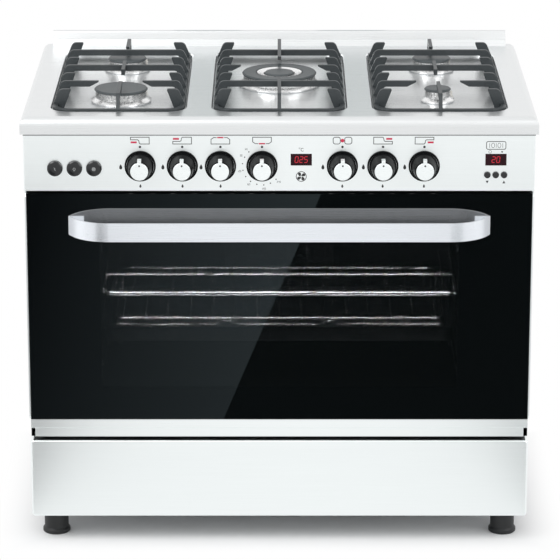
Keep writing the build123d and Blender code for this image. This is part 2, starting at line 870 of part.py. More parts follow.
def fan_motor():
    """The fan motor behind the oven's rear wall, with the bore that its shaft runs in."""
    seat_y = cavity_back_y + liner_wall
    motor = rod_y(0, seat_y + motor_plate, seat_y + fan_motor_length, fan_z, fan_motor_radius)
    motor += block(-fan_motor_radius - motor_ear, fan_motor_radius + motor_ear, seat_y, seat_y + motor_plate,
                   fan_z - fan_motor_radius, fan_z + fan_motor_radius)
    motor -= rod_y(0, seat_y - cut_margin, seat_y + fan_motor_length - motor_end, fan_z,
                   fan_shaft_radius + running_gap)
    return motor


def fan_cover():
    """The guard over the oven fan: a dished square with a ring of slots and open edges."""
    size = fan_cover_size
    corner = fan_cover_corner
    slope = fan_cover_slope
    face = size - 2 * slope
    shell = extrude(RectangleRounded(size, size, corner), fan_cover_depth)
    shell = chamfer(shell.faces().sort_by(Axis.Z)[-1].edges(), slope)
    inside = size - 2 * sheet
    shell -= extrude(RectangleRounded(inside, inside, corner - sheet), fan_cover_depth - slope)
    core = RectangleRounded(face - 4 * sheet, face - 4 * sheet, corner - slope)
    shell -= Pos(0, 0, fan_cover_depth - slope - sheet) * extrude(core, slope)
    slot = Pos(fan_slot_centre, 0, fan_cover_depth) * Box(fan_slot_length, fan_slot_width, 4 * sheet)
    shell -= [Rot(0, 0, 360 * index / fan_slots) * slot for index in range(fan_slots)]
    vent = Box(fan_vent_width, fan_vent_length, fan_vent_height)
    shell -= [Pos(side * size / 2, 0, fan_cover_depth / 3) * vent for side in (-1, 1)]
    return on_front(0, fan_z, cavity_back_y) * shell


def rack_rails():
    """A wire ladder on each side wall of the oven, with a guide at each level."""
    wall_x = cavity_width / 2 - guide_rod - seat_gap
    rod_front = carcass_y + shelf_setback
    rod_rear = rod_front + shelf_depth
    ladder = None
    for y in (rod_front + ladder_inset, rod_rear - ladder_inset):
        post = rod_z(wall_x, y, mouth_z + seat_gap, guide_levels()[-1] + ladder_inset, guide_rod)
        ladder = post if ladder is None else ladder + post
    for level in guide_levels():
        ladder += rod_y(guide_x, rod_front, rod_rear, level, guide_rod)
    return [ladder, mirror(ladder, Plane.YZ)]


def guide_levels():
    """Heights of the guide rods' axes, lowest first; the pan and the shelf rest on two of them."""
    shelf_guide = mouth_z + shelf_height - guide_rod - shelf_rod - seat_gap
    pan_guide = mouth_z + pan_rim_height - guide_rod - seat_gap
    return [mouth_z + low_guide_height, pan_guide, shelf_guide, mouth_z + high_guide_height]


def wire_loop(width, length, corner, radius, y, z):
    """A closed frame of round wire with rounded corners, lying flat."""
    path = (Pos(0, y, z) * RectangleRounded(width, length, corner)).wire()
    section = Plane(origin=path @ 0, z_dir=path % 0) * Circle(radius)
    return sweep(section, path=path)


def oven_shelf():
    """The wire shelf: a round-bar frame with thinner wires welded on top, front to back."""
    z = mouth_z + shelf_height
    front = carcass_y + shelf_setback
    rear = front + shelf_depth
    half = guide_x - shelf_post_gap
    shelf = wire_loop(2 * half, shelf_depth, shelf_corner, shelf_rod, (front + rear) / 2, z)
    shelf += rod_x(-half, half, front + shelf_depth / 3, z, shelf_rod - weld_sink)
    count = int(2 * (half - shelf_corner) / shelf_wire_pitch) + 1
    wire_z = z + shelf_rod + shelf_wire - weld_sink
    for index in range(count):
        x = (index - (count - 1) / 2) * shelf_wire_pitch
        shelf += rod_y(x, front - weld_sink, rear + weld_sink, wire_z, shelf_wire)
    return shelf


def grill_pan():
    """The shallow enamelled pan that hangs by its rim on a pair of guides."""
    front = carcass_y + shelf_setback
    rim_z = mouth_z + pan_rim_height
    middle_y = front + shelf_depth / 2
    rim_width = 2 * (guide_x + guide_rod - shelf_post_gap)
    tub_width = 2 * (guide_x - guide_rod - shelf_post_gap)
    tub_length = shelf_depth - 2 * pan_rim
    pan = rounded_slab(rim_width, shelf_depth, pan_rim, rim_z, rim_z + pan_sheet, 0, middle_y)
    pan += rounded_slab(tub_width, tub_length, pan_corner, rim_z - pan_height, rim_z + pan_sheet, 0, middle_y)
    pan -= rounded_slab(tub_width - 2 * pan_sheet, tub_length - 2 * pan_sheet, pan_corner - pan_sheet,
                        rim_z - pan_height + pan_sheet, rim_z + 2 * pan_sheet, 0, middle_y)
    return pan


def grill_pan_rack():
    """The wire rack that stands in the grill pan on four short legs."""
    front = carcass_y + shelf_setback + rack_inset
    rear = carcass_y + shelf_setback + shelf_depth - rack_inset
    floor_z = mouth_z + pan_rim_height - pan_height + pan_sheet
    z = mouth_z + pan_rim_height + rack_rise
    half = guide_x - rack_side_inset
    rack = wire_loop(2 * half, rear - front, shelf_corner, rack_rod, (front + rear) / 2, z)
    for y in (front + 2 * shelf_corner, rear - 2 * shelf_corner):
        for x in (-half, half):
            rack += rod_z(x, y, floor_z, z, rack_leg)
    wire_z = z + rack_rod + rack_wire - weld_sink
    spread = half - shelf_corner
    for index in range(pan_wire_count):
        x = spread * (2 * index / (pan_wire_count - 1) - 1)
        rack += rod_y(x, front - weld_sink, rear + weld_sink, wire_z, rack_wire)
    return rack


# Oven door


def door_glass_outer():
    """The black front glass, with a small bevel round its front face."""
    pane = block(-door_half, door_half, front_y, front_y + outer_glass, glass_z, door_top_z)
    return chamfer(pane.faces().sort_by(Axis.Y)[0].edges(), glass_bevel)


def door_frame():
    """The folded door pan behind the glass, with a collar round its window and hinge notches."""
    front = front_y + outer_glass
    rear = front_y + door_depth
    window_z = (mouth_z + mouth_top_z) / 2
    pan = block(-door_half, door_half, front, rear, door_z, door_top_z)
    pan -= block(-door_half + sheet, door_half - sheet, front, rear - sheet, door_z + sheet, door_top_z - sheet)
    wide = door_window_width / 2
    tall = door_window_height / 2
    collar = block(-wide - sheet, wide + sheet, front, rear, window_z - tall - sheet, window_z + tall + sheet)
    pan += collar - block(-wide, wide, front, rear - sheet, window_z - tall, window_z + tall)
    pan -= block(-wide + glass_lap, wide - glass_lap, front, rear, window_z - tall + glass_lap,
                 window_z + tall - glass_lap)
    for side in (-1, 1):
        notch = hinge_lug / 2 + hinge_side_gap
        x = side * hinge_offset_x
        pan -= block(x - notch, x + notch, front, rear, door_z, hinge_z + hinge_lug_radius + hinge_side_gap)
    return pan


def door_glass_inner():
    """The inner pane, held in the collar of the door pan."""
    wide = door_window_width / 2 - seat_gap
    tall = door_window_height / 2 - seat_gap
    window_z = (mouth_z + mouth_top_z) / 2
    rear = front_y + door_depth - sheet
    return block(-wide, wide, rear - inner_glass, rear, window_z - tall, window_z + tall)


def door_trim():
    """The stainless strip under the glass: full width above its crease, narrower and set back below."""
    rear = front_y + outer_glass
    crease_z = door_z + door_strip_height / 2
    strip = block(-door_half, door_half, front_y, rear, crease_z, glass_z)
    narrow = door_half - strip_notch
    strip += block(-narrow, narrow, front_y + strip_step, rear, door_z, crease_z)
    crease = strip.edges().filter_by(Axis.X).sort_by_distance((0, front_y, crease_z))[0]
    return chamfer(crease, strip_step / 2)


def door_handle():
    """The bent flat-strip handle: a shallow bow whose ends come back to the glass on small tabs."""
    z = door_top_z - handle_below_glass_top
    axis_y = front_y - handle_reach + handle_sheet / 2
    lean = handle_lean / (handle_reach - handle_sheet / 2)
    beyond = handle_sheet
    tip_x = handle_half_span + lean * beyond
    tip_y = front_y + beyond
    corner_x = handle_half_span - handle_lean
    bow = FilletPolyline((-tip_x, tip_y), (-corner_x, axis_y), (corner_x, axis_y), (tip_x, tip_y),
                         radius=handle_bend_radius)
    strip = extrude(trace(bow, line_width=handle_sheet), handle_height / 2, both=True)
    strip -= block(-tip_x * 2, tip_x * 2, front_y, tip_y + 2 * handle_sheet, -handle_height, handle_height)
    for side in (-1, 1):
        near = side * (handle_half_span - handle_sheet)
        far = side * (handle_half_span - handle_tab)
        strip += block(min(near, far), max(near, far), front_y - handle_sheet, front_y,
                       -handle_height / 2, handle_height / 2)
    return Pos(0, 0, z) * strip


def hinge_arms():
    """Two forked arms inside the door pan; each carries the door on its hinge pin."""
    rear = front_y + door_depth - sheet
    arm_front = hinge_y - hinge_lug_radius
    top = hinge_z + hinge_arm_height
    inner = hinge_lug / 2 + hinge_side_gap
    outer = inner + hinge_arm_thickness
    arms = []
    for side in (-1, 1):
        x = side * hinge_offset_x
        fork = block(x - outer, x + outer, arm_front, rear, door_z + sheet, top)
        fork -= block(x - inner, x + inner, arm_front, rear, door_z, top - hinge_arm_bridge)
        fork -= rod_x(x - outer - 1, x + outer + 1, hinge_y, hinge_z, hinge_pin_radius + running_gap)
        arms.append(fork)
    return arms


def door_hinges():
    """The hinge lugs on the carcass, each with the pin that the door's fork turns on."""
    lugs = []
    pin_half = hinge_lug / 2 + hinge_side_gap + hinge_arm_thickness + 1
    for side in (-1, 1):
        x = side * hinge_offset_x
        lug = block(x - hinge_lug / 2, x + hinge_lug / 2, hinge_y, carcass_y,
                    hinge_z - hinge_lug_radius, hinge_z + hinge_lug_radius)
        lug += rod_x(x - hinge_lug / 2, x + hinge_lug / 2, hinge_y, hinge_z, hinge_lug_radius)
        lug += rod_x(x - pin_half, x + pin_half, hinge_y, hinge_z, hinge_pin_radius)
        lugs.append(lug)
    return lugs


# Storage drawer


def drawer_front():
    """The pressed drawer front: a shallow pan open to the rear, with rounded edges."""
    width = body_width - 2 * drawer_side_gap
    pan = extrude(RectangleRounded(width, drawer_front_height, drawer_corner), -drawer_front_depth)
    pan = fillet(pan.faces().sort_by(Axis.Z)[-1].edges(), drawer_edge_radius)
    inner = RectangleRounded(width - 2 * drawer_front_sheet, drawer_front_height - 2 * drawer_front_sheet,
                             drawer_corner - drawer_front_sheet)
    pan -= Pos(0, 0, -drawer_front_depth) * extrude(inner, drawer_front_depth - drawer_edge_radius)
    core = Rectangle(width - 2 * drawer_edge_radius, drawer_front_height - 2 * drawer_edge_radius)
    pan -= Pos(0, 0, -drawer_edge_radius) * extrude(core, drawer_edge_radius - drawer_front_sheet)
    return on_front(0, drawer_z + drawer_front_height / 2) * pan


def drawer_box():
    """The open-topped drawer tray: a floor sheet, two ends and two sides with outward rims, spot-welded."""
    half = drawer_box_width / 2
    front = front_y + drawer_front_sheet
    rear = front + drawer_box_depth
    floor_z = drawer_box_z + sheet
    top = drawer_box_z + drawer_box_height
    floor = block(-half, half, front, rear, drawer_box_z, floor_z)
    ends = [block(-half + sheet, half - sheet, y, y + sheet, floor_z, top) for y in (front, rear - sheet)]
    right = block(half - sheet, half, front, rear, floor_z, top)
    right += block(half - sheet, half + drawer_rim, carcass_y, rear, top - sheet, top)
    return [floor, *ends, mirror(right, Plane.YZ), right]


def drawer_runners():
    """Angle runners on the base lips that carry the drawer tray."""
    front = carcass_y + liner_wall + sheet
    rear = back_y - 2 * sheet
    wall = inner_half - sheet
    top = drawer_box_z - seat_gap
    right = block(drawer_box_width / 2 - runner_lap, wall, front, rear, top - press_sheet, top)
    right += block(wall - press_sheet, wall, front, rear, top - press_sheet, top + runner_height)
    return [mirror(right, Plane.YZ), right]


# Control panel


def display_places():
    """Middle of the oven temperature window and of the timer window."""
    z = panel_top_z - display_drop
    return [(temperature_display_x, z), (timer_display_x, z)]


def timer_button_places():
    """The three small buttons in a row under the timer window."""
    z = panel_top_z - timer_button_drop
    return [(timer_display_x + step * timer_button_pitch, z) for step in (-1, 0, 1)]


def front_hole(x, z, radius):
    """A round hole through the panel's front sheet."""
    return rod_y(x, front_y - 1, front_y + press_sheet + 1, z, radius)


def control_panel():
    """The pressed fascia, open to the rear, pierced for taps, buttons and displays."""
    panel = block(-half_width, half_width, front_y, carcass_y, panel_z, panel_top_z)
    panel = fillet(panel.faces().sort_by(Axis.Y)[0].edges(), panel_edge_radius)
    panel -= block(-half_width + press_sheet, half_width - press_sheet, front_y + press_sheet, carcass_y,
                   panel_z + press_sheet, panel_top_z - press_sheet)
    panel -= [front_hole(x, knob_z, spindle_radius + spindle_hole_gap) for x in knob_places]
    panel -= [front_hole(x, panel_top_z - button_drop, button_radius + seat_gap) for x in button_places]
    panel -= [front_hole(x, z, timer_button_radius + seat_gap) for x, z in timer_button_places()]
    for x, z in display_places():
        panel -= on_front(x, z) * Box(display_width + seat_gap, display_height + seat_gap, 4 * press_sheet)
    return panel


def knob_bezels():
    """Dark rings on the panel round the knobs."""
    inner = knob_base_radius + bezel_clearance
    ring = turned([
        (inner, 0), (bezel_radius, 0), (bezel_radius, bezel_height - bezel_lip),
        (bezel_radius - bezel_lip, bezel_height), (inner, bezel_height)])
    return [on_front(x, knob_z) * ring for x in knob_places]


def knob():
    """A conical control knob with a pointer fin on its upper side, and its tap spindle."""
    edge = knob_edge_radius
    body = turned([
        (0, knob_standoff), (knob_base_radius, knob_standoff), (knob_base_radius, knob_skirt),
        (knob_waist_radius, knob_skirt + edge), (knob_face_radius, knob_reach - edge),
        (knob_face_radius - knob_edge_step, knob_reach - knob_edge_step), (knob_face_radius - edge, knob_reach),
        (0, knob_reach)])
    back = knob_reach - pointer_length
    face = knob_reach - edge
    fin = make_face(Polyline((knob_face_radius - pointer_root, face), (knob_face_radius + pointer_lift, face),
                             (knob_waist_radius, back), (knob_face_radius - pointer_root, back), close=True))
    body += extrude(Plane.YZ * fin, pointer_width / 2, both=True)
    body += Pos(0, 0, (knob_standoff - spindle_length) / 2) * Cylinder(
        spindle_radius, knob_standoff + spindle_length)
    return body


def push_button(radius, reach, skirt, stem_radius, stem_length):
    """A domed button with a skirt that runs in its housing and a guide stem."""
    dome = reach * button_dome_share
    shoulder = radius * button_shoulder_share
    return turned([
        (0, -skirt - stem_length), (stem_radius, -skirt - stem_length), (stem_radius, -skirt), (radius, -skirt),
        (radius, reach - dome), (shoulder, reach - dome * button_dome_share),
        (radius * button_crown_share, reach), (0, reach)])


def button_housing(x, z, radius, skirt, stem_radius, stem_length, travel):
    """The room that a push-button's skirt and stem need behind the panel."""
    pocket = on_front(x, z) * Pos(0, 0, -(skirt + travel) / 2 - housing_spare / 2)
    room = pocket * Cylinder(radius + seat_gap, skirt + travel + housing_spare)
    deep = skirt + stem_length + travel + housing_spare
    return room + on_front(x, z) * Pos(0, 0, -deep / 2) * Cylinder(stem_radius + running_gap, deep)


def switch_blocks():
    """Round switch bodies behind the three large push-buttons."""
    blocks = []
    z = panel_top_z - button_drop
    for x in button_places:
        body = rod_y(x, front_y + press_sheet, front_y + switch_depth, z, button_radius + switch_wall)
        blocks.append(body - button_housing(x, z, button_radius, button_skirt, button_stem_radius,
                                            button_stem_length, button_travel))
    return blocks


def display_windows():
    """Two dark display windows set in the panel."""
    return [
        on_front(x, z, front_y + press_sheet) * Pos(0, 0, display_thickness / 2) *
        Box(display_width, display_height, display_thickness) for x, z in display_places()]


def display_modules():
    """The display and timer boxes on the rear of the panel; the timer box guides its three buttons."""
    (temperature_x, z), (timer_x, _) = display_places()
    front = front_y + press_sheet
    half = display_width / 2 + module_margin
    low = z - display_height / 2 - module_margin
    high = z + display_height / 2 + module_margin
    temperature = block(temperature_x - half, temperature_x + half, front, front + module_depth, low, high)
    timer_low = panel_top_z - timer_button_drop - timer_button_radius - module_margin
    timer = block(timer_x - half, timer_x + half, front, front + module_depth, timer_low, high)
    for x, button_z in timer_button_places():
        timer -= button_housing(x, button_z, timer_button_radius, timer_button_skirt, timer_stem_radius,
                                timer_stem_length, timer_button_travel)
    return [temperature, timer]


def gas_rail():
    """The square gas rail that runs between the side panels behind the taps."""
    half = rail_size / 2
    rail = block(-inner_half, inner_half, rail_y - half, rail_y + half, knob_z - half, knob_z + half)
    bore = half - press_sheet
    return rail - block(-inner_half + press_sheet, inner_half - press_sheet, rail_y - bore, rail_y + bore,
                        knob_z - bore, knob_z + bore)


def gas_taps():
    """Seven taps on the rail; each has a spindle bore to the front and an outlet stub on top."""
    taps = []
    front = front_y + tap_front
    rear = rail_y - rail_size / 2
    for x in knob_places:
        tap = block(x - tap_width / 2, x + tap_width / 2, front, rear, knob_z - tap_height / 2,
                    knob_z + tap_height / 2)
        tap = chamfer(tap.edges().filter_by(Axis.Y), tap_chamfer)
        tap += rod_y(x, front_y + 2 * press_sheet, front, knob_z, tap_boss_radius)
        outlet_z = knob_z + tap_height / 2 + tap_outlet_length
        tap += rod_z(x, (front + rear) / 2, knob_z, outlet_z, tap_outlet_radius)
        tap -= rod_y(x, front_y, front_y + spindle_length + 1, knob_z, spindle_radius + running_gap)
        taps.append(tap)
    return taps


def gas_inlet():
    """The supply pipe from the rail to the rear, with a hexagon collar and a connection end."""
    pipe = rod_y(inlet_x, rail_y + rail_size / 2, back_y + inlet_reach, inlet_z, inlet_radius)
    collar = extrude(RegularPolygon(inlet_radius + inlet_collar, 6), inlet_collar_length)
    pipe += on_front(inlet_x, inlet_z, back_y + inlet_collar_length) * collar
    return pipe - rod_y(inlet_x, back_y - inlet_bore_depth, back_y + inlet_reach + 1, inlet_z, inlet_bore)


def spark_generator():
    """The ignition box on the left side panel, with its lead posts."""
    x0 = -inner_half
    y0 = rail_y + rail_size
    z0 = knob_z
    box = block(x0, x0 + spark_box_width, y0, y0 + spark_box_length, z0, z0 + spark_box_height)
    box = fillet(box.edges().filter_by(Axis.Y), spark_box_radius)
    for index in range(len(burner_list())):
        y = y0 + spark_box_length * (index + 0.5) / len(burner_list())
        box += rod_x(x0 + spark_box_width - cut_margin, x0 + spark_box_width + spark_post_length, y,
                     z0 + spark_box_height / 2, spark_post_radius)
    return box


def write(name, shape):
    """One STEP file for a node; a list of solids becomes a group."""
    solids = shape if isinstance(shape, list) else [shape]
    model = solids[0] if len(solids) == 1 else Compound(children=solids)
    export_step(model, f"parts/{name}.step")


def main():
    """Build every node of the cooker and write it."""
    os.makedirs("parts", exist_ok=True)
    builders = (
        side_panels, back_panel, base_tray, feet,
        hob_top, rear_upstand, burner_cups, flame_spreaders, burner_caps, spark_electrodes,
        oven_liner, door_seal, oven_floor, oven_burner, grill_burner, oven_lamp,
        fan_wheel, fan_motor, fan_cover, rack_rails, oven_shelf, grill_pan, grill_pan_rack,
        door_glass_outer, door_frame, door_glass_inner, door_trim, door_handle, hinge_arms, door_hinges,
        drawer_front, drawer_box, drawer_runners,
        control_panel, knob_bezels, switch_blocks, display_windows, display_modules,
        gas_rail, gas_taps, gas_inlet, spark_generator)
    for builder in builders:
        write(builder.__name__, builder())
    for name, support in pan_supports().items():
        write(name, support)
    knob_names = ("left_front", "left_rear", "grill", "oven", "centre", "right_rear", "right_front")
    for name, x in zip(knob_names, knob_places):
        write(f"knob_{name}", on_front(x, knob_z) * knob())
    large = push_button(button_radius, button_reach, button_skirt, button_stem_radius, button_stem_length)
    for name, x in zip(("ignition", "lamp", "fan"), button_places):
        write(f"button_{name}", on_front(x, panel_top_z - button_drop) * large)
    small = push_button(timer_button_radius, timer_button_reach, timer_button_skirt, timer_stem_radius,
                        timer_stem_length)
    for name, (x, z) in zip(("down", "set", "up"), timer_button_places()):
        write(f"timer_button_{name}", on_front(x, z) * small)


if __name__ == "__main__":
    main()
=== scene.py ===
"""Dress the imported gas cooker: finishes, printed signs, knob faces, digits, screws, light and camera.

Metres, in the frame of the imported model: X to the right of the cook, Y to the wall, Z up.
"""
import json
from math import cos, pi, radians, sin, tau

import bmesh
import bpy
import numpy as np
from bpy.props import FloatProperty, FloatVectorProperty, PointerProperty
from mathutils import Matrix, Vector


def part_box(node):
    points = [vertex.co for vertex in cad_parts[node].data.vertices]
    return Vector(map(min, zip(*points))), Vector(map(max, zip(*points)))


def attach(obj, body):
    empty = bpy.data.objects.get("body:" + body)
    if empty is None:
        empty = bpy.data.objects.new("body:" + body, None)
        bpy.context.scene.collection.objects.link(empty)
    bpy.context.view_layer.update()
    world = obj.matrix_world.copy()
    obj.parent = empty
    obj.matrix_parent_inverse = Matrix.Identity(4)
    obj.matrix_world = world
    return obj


bl_info = {
    "name": "Gas Cooker Dresser",
    "version": (1, 0, 0),
    "blender": (4, 5, 0),
    "location": "View3D > Sidebar > Cooker",
    "description": "Gives the packed gas cooker its finishes, printed signs, small fittings, light and camera",
    "category": "Object",
}

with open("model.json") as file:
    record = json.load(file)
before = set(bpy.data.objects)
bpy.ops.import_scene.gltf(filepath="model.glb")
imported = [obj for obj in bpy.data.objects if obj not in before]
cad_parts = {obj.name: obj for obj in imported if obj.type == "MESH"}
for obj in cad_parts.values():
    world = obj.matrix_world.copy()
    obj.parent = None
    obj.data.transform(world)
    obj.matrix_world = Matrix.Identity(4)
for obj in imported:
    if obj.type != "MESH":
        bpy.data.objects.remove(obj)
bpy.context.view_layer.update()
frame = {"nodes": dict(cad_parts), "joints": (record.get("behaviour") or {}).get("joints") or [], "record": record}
nodes = frame["nodes"]
joint_places = {joint["name"]: joint.get("pos_m") for joint in frame["joints"]}

KNOBS = ("left_front", "left_rear", "grill", "oven", "centre", "right_rear", "right_front")


# Sizes and colours that a user may change


def amount(name, text, default, **more):
    """A number property."""
    return FloatProperty(name=name, description=text, default=default, **more)


def length(name, text, default):
    """A length property in metres."""
    return amount(name, text, default, unit="LENGTH", precision=5)


def colour(name, text, default):
    """A colour property."""
    return FloatVectorProperty(name=name, description=text, default=default, subtype="COLOR", min=0.0, max=1.0)


def power(name, text, default):
    """A lamp's power property in watts."""
    return amount(name, text, default, unit="POWER")


class CookerFinishes(bpy.types.PropertyGroup):
    """Colours of the cooker's finishes."""

    steel: colour("Steel", "Brushed stainless fronts", (0.88, 0.92, 0.92))
    handle: colour("Handle", "Satin steel of the door handle", (0.76, 0.79, 0.83))
    hob_steel: colour("Hob steel", "Pressed hob top", (0.78, 0.795, 0.80))
    paint: colour("Side paint", "Silver-grey powder coat of the sides", (0.56, 0.57, 0.58))
    zinc: colour("Zinc", "Galvanised inner sheets", (0.52, 0.53, 0.54))
    iron: colour("Cast iron", "Enamelled pan supports", (0.024, 0.030, 0.033))
    cap: colour("Burner cap", "Matt black burner caps", (0.060, 0.070, 0.074))
    aluminium: colour("Burner crown", "Cast aluminium flame spreaders", (0.90, 0.90, 0.90))
    enamel: colour("Oven enamel", "Dark enamel of the oven", (0.004, 0.0045, 0.005))
    glass: colour("Door glass", "Black tint of the door glass", (0.002, 0.0026, 0.003))
    knob: colour("Knobs", "Gloss black of the knobs and their bezels", (0.006, 0.0065, 0.007))
    print_black: colour("Black print", "Signs on the control panel", (0.010, 0.010, 0.011))
    print_red: colour("Red print", "Burner marks in the signs", (0.52, 0.015, 0.060))
    digit: colour("Digits", "Glowing digits of the displays", (0.46, 0.006, 0.020))


class CookerFittings(bpy.types.PropertyGroup):
    """Sizes of the printed signs and small fittings."""

    print_height: length("Print height", "How far print stands on the panel", 0.00012)
    line: length("Line", "Width of a printed line", 0.0012)
    sign_width: length("Sign width", "Width of a burner sign", 0.0328)
    sign_height: length("Sign height", "Height of a burner sign", 0.0122)
    sign_rise: length("Sign rise", "Burner sign above the knob's middle", 0.0460)
    dot_rise: length("Dot rise", "Off mark above the knob's middle", 0.0346)
    dot_radius: length("Dot radius", "Radius of the off mark", 0.0021)
    plate_radius: length("Plate radius", "Radius of the bright plate on a knob", 0.0158)
    plate_height: length("Plate height", "Thickness of that plate", 0.0007)
    pointer_width: length("Pointer width", "Width of the bright pointer on a knob", 0.0067)
    trim_width: length("Trim width", "Width of the edge trims of the door glass", 0.0025)
    # The seal under the hob's nose is a dark strip that paints the shadow in the gap there.
    shade_strip_height: length("Seal height", "Height of the seal that shows under the hob's nose", 0.0013)
    wire_radius: length("Wire radius", "Radius of the rack's grip wire and the shelf's stops", 0.0016)
    screw_radius: length("Screw radius", "Radius of a cabinet screw's head", 0.0042)


class CookerStage(bpy.types.PropertyGroup):
    """Camera, floor and light."""

    distance: length("Distance", "From the camera to the cooker's middle", 6.0)
    elevation: amount("Elevation", "How far the camera looks down", radians(16.574), subtype="ANGLE")
    lens: amount("Lens", "Focal length in millimetres on a 36 mm sensor", 206.24)
    target: FloatVectorProperty(name="Target", description="Point in the middle of the picture",
                                default=(0.0012, 0.0, 0.4175), subtype="XYZ", unit="LENGTH")
    floor: colour("Floor", "Pale floor", (0.93, 0.93, 0.93))
    sky: amount("Sky", "Strength of the soft light from all round", 0.62)
    oven_light: power("Oven light", "The strip lamps in the oven's mouth, the lower one at half power", 5.0)
    handle_light: power("Handle light", "The lamp behind the handle", 0.03)
    key: power("Key", "The large lamp above the front left", 95.0)
    fill: power("Fill", "The lamp at the front right", 45.0)


# Surfaces as whole arrays


def rings(u, v, h, closed=False):
    """A surface through rows of points, each row a closed ring: quads join every row to the next, and in a closed
    surface the last row to the first."""
    points = np.stack(np.broadcast_arrays(u, v, h), -1)
    rows, columns = points.shape[:2]
    row, column = np.meshgrid(np.arange(rows if closed else rows - 1), np.arange(columns), indexing="ij")
    next_row, next_column = (row + 1) % rows, (column + 1) % columns
    corners = [row * columns + column, row * columns + next_column,
               next_row * columns + next_column, next_row * columns + column]
    return points.reshape(-1, 3), np.stack(corners, -1).reshape(-1, 4)


def joined(parts):
    """Several point and quad arrays as one: each part's corners count on from the points before it."""
    counts = np.cumsum([0] + [len(points) for points, _ in parts[:-1]])
    points = np.concatenate([points for points, _ in parts])
    quads = np.concatenate([quads + count for (_, quads), count in zip(parts, counts)])
    return points, quads


def turned(profile, steps=48):
    """A closed turned form: each (radius, height) of the profile goes round as radius times cosine and sine."""
    radius, height = np.asarray(profile, float).T
    across, up = radius[:, None] * circle(1.0, steps).T[:, None]
    return rings(across, up, height[:, None])


def patch(outline, height):
    """A flat raised shape: rings shrink from the outline to its middle, on top and underneath."""
    outline = np.asarray(outline, float)
    middle = outline.mean(0)
    share = np.array([0.0, 0.5, 0.97, 1.0, 1.0, 0.5, 0.0])
    level = np.array([1.0, 1.0, 1.0, 0.8, -0.5, -0.5, -0.5]) * height
    flat = middle + share[:, None, None] * (outline - middle)
    return rings(flat[..., 0], flat[..., 1], level[:, None])


def band(path, width, height, closed=False):
    """A raised line: at each point of the path the section reaches half the width to each side,
    along the mean of the normals of its two runs, lengthened so that corners keep the width."""
    path = np.asarray(path, float)
    after = np.roll(path, -1, 0) - path
    before = path - np.roll(path, 1, 0)
    if not closed:
        after[-1] = before[-1]
        before[0] = after[0]
    after /= np.linalg.norm(after, axis=1, keepdims=True)
    before /= np.linalg.norm(before, axis=1, keepdims=True)
    normal = np.stack([-(after + before)[:, 1], (after + before)[:, 0]], -1)
    normal /= np.linalg.norm(normal, axis=1, keepdims=True)
    stretch = 1.0 / np.maximum(np.sqrt((1.0 + (after * before).sum(1)) / 2.0), 0.5)
    side = normal * (stretch * width / 2.0)[:, None]
    flat = path[:, None] + np.array([-1.0, -1.0, 1.0, 1.0])[:, None] * side[:, None]
    level = np.array([-0.5, 1.0, 1.0, -0.5])[:, None] * height
    points = np.concatenate([flat, np.broadcast_to(level, flat.shape[:2] + (1,))], -1)
    if not closed:
        ends = np.broadcast_to(points.mean(1, keepdims=True), points.shape)
        points = np.concatenate([ends[:1], points, ends[-1:]])
    return rings(*np.moveaxis(points, -1, 0), closed)


def on_front(part, x, y, z):
    """Stands a flat part up on a face that looks at the cook: u to the right, v up, height towards the cook."""
    points, quads = part
    u, v, h = points.T
    return np.stack([x + u, y - h, z + v], -1), quads


def piece(name, parts, material, smooth=False, body="carcass"):
    """Makes one object of the parts, closes poles and seams, turns the faces out and rides it on a body."""
    points, quads = joined(parts)
    mesh = bpy.data.meshes.new(name)
    mesh.from_pydata(points.tolist(), [], quads.tolist())
    shape = bmesh.new()
    shape.from_mesh(mesh)
    bmesh.ops.remove_doubles(shape, verts=shape.verts, dist=1e-6)
    bmesh.ops.dissolve_degenerate(shape, edges=shape.edges, dist=1e-7)
    bmesh.ops.recalc_face_normals(shape, faces=shape.faces)
    shape.to_mesh(mesh)
    shape.free()
    mesh.polygons.foreach_set("use_smooth", np.full(len(mesh.polygons), smooth))
    mesh.materials.append(material)
    made = bpy.data.objects.new(name, mesh)
    bpy.context.scene.collection.objects.link(made)
    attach(made, body)


# Flat outlines of the signs


def circle(radius, steps=32, start=0.0, sweep=tau):
    """Points round a circle, or along an arc of it."""
    angle = start + np.linspace(0.0, sweep, steps, endpoint=sweep < tau)
    return radius * np.stack([np.cos(angle), np.sin(angle)], -1)


def flame(width, height, steps=32):
    """A drop outline: from a round foot to a point, as wide as an angle's sine times the sine of its half."""
    angle = np.linspace(0.0, tau, steps, endpoint=False)
    u = width * 0.65 * np.sin(angle) * np.sin(angle / 2.0)
    v = height / 2.0 * np.cos(angle)
    return np.stack([u, v], -1)


def bar(width, height):
    """The four corners of an upright rectangle."""
    return np.array([[-1, -1], [1, -1], [1, 1], [-1, 1]]) * (width / 2.0, height / 2.0)


def rounded_box(width, height, radius, steps=6):
    """A rectangle whose corners are quarter circles, walked round once."""
    centres = np.array([[1, 1], [-1, 1], [-1, -1], [1, -1]]) * (width / 2.0 - radius, height / 2.0 - radius)
    corners = [centre + circle(radius, steps, index * pi / 2.0, pi / 2.0) for index, centre in enumerate(centres)]
    return np.concatenate(corners)


SEGMENT_ENDS = {
    "a": ((-0.5, 1.0), (0.5, 1.0)), "b": ((0.5, 1.0), (0.5, 0.0)), "c": ((0.5, 0.0), (0.5, -1.0)),
    "d": ((-0.5, -1.0), (0.5, -1.0)), "e": ((-0.5, 0.0), (-0.5, -1.0)), "f": ((-0.5, 1.0), (-0.5, 0.0)),
    "g": ((-0.5, 0.0), (0.5, 0.0))}
DIGIT_SEGMENTS = {
    "0": "abcdef", "1": "bc", "2": "abged", "3": "abgcd", "4": "fgbc",
    "5": "afgcd", "6": "afgedc", "7": "abc", "8": "abcdefg", "9": "abcdfg"}


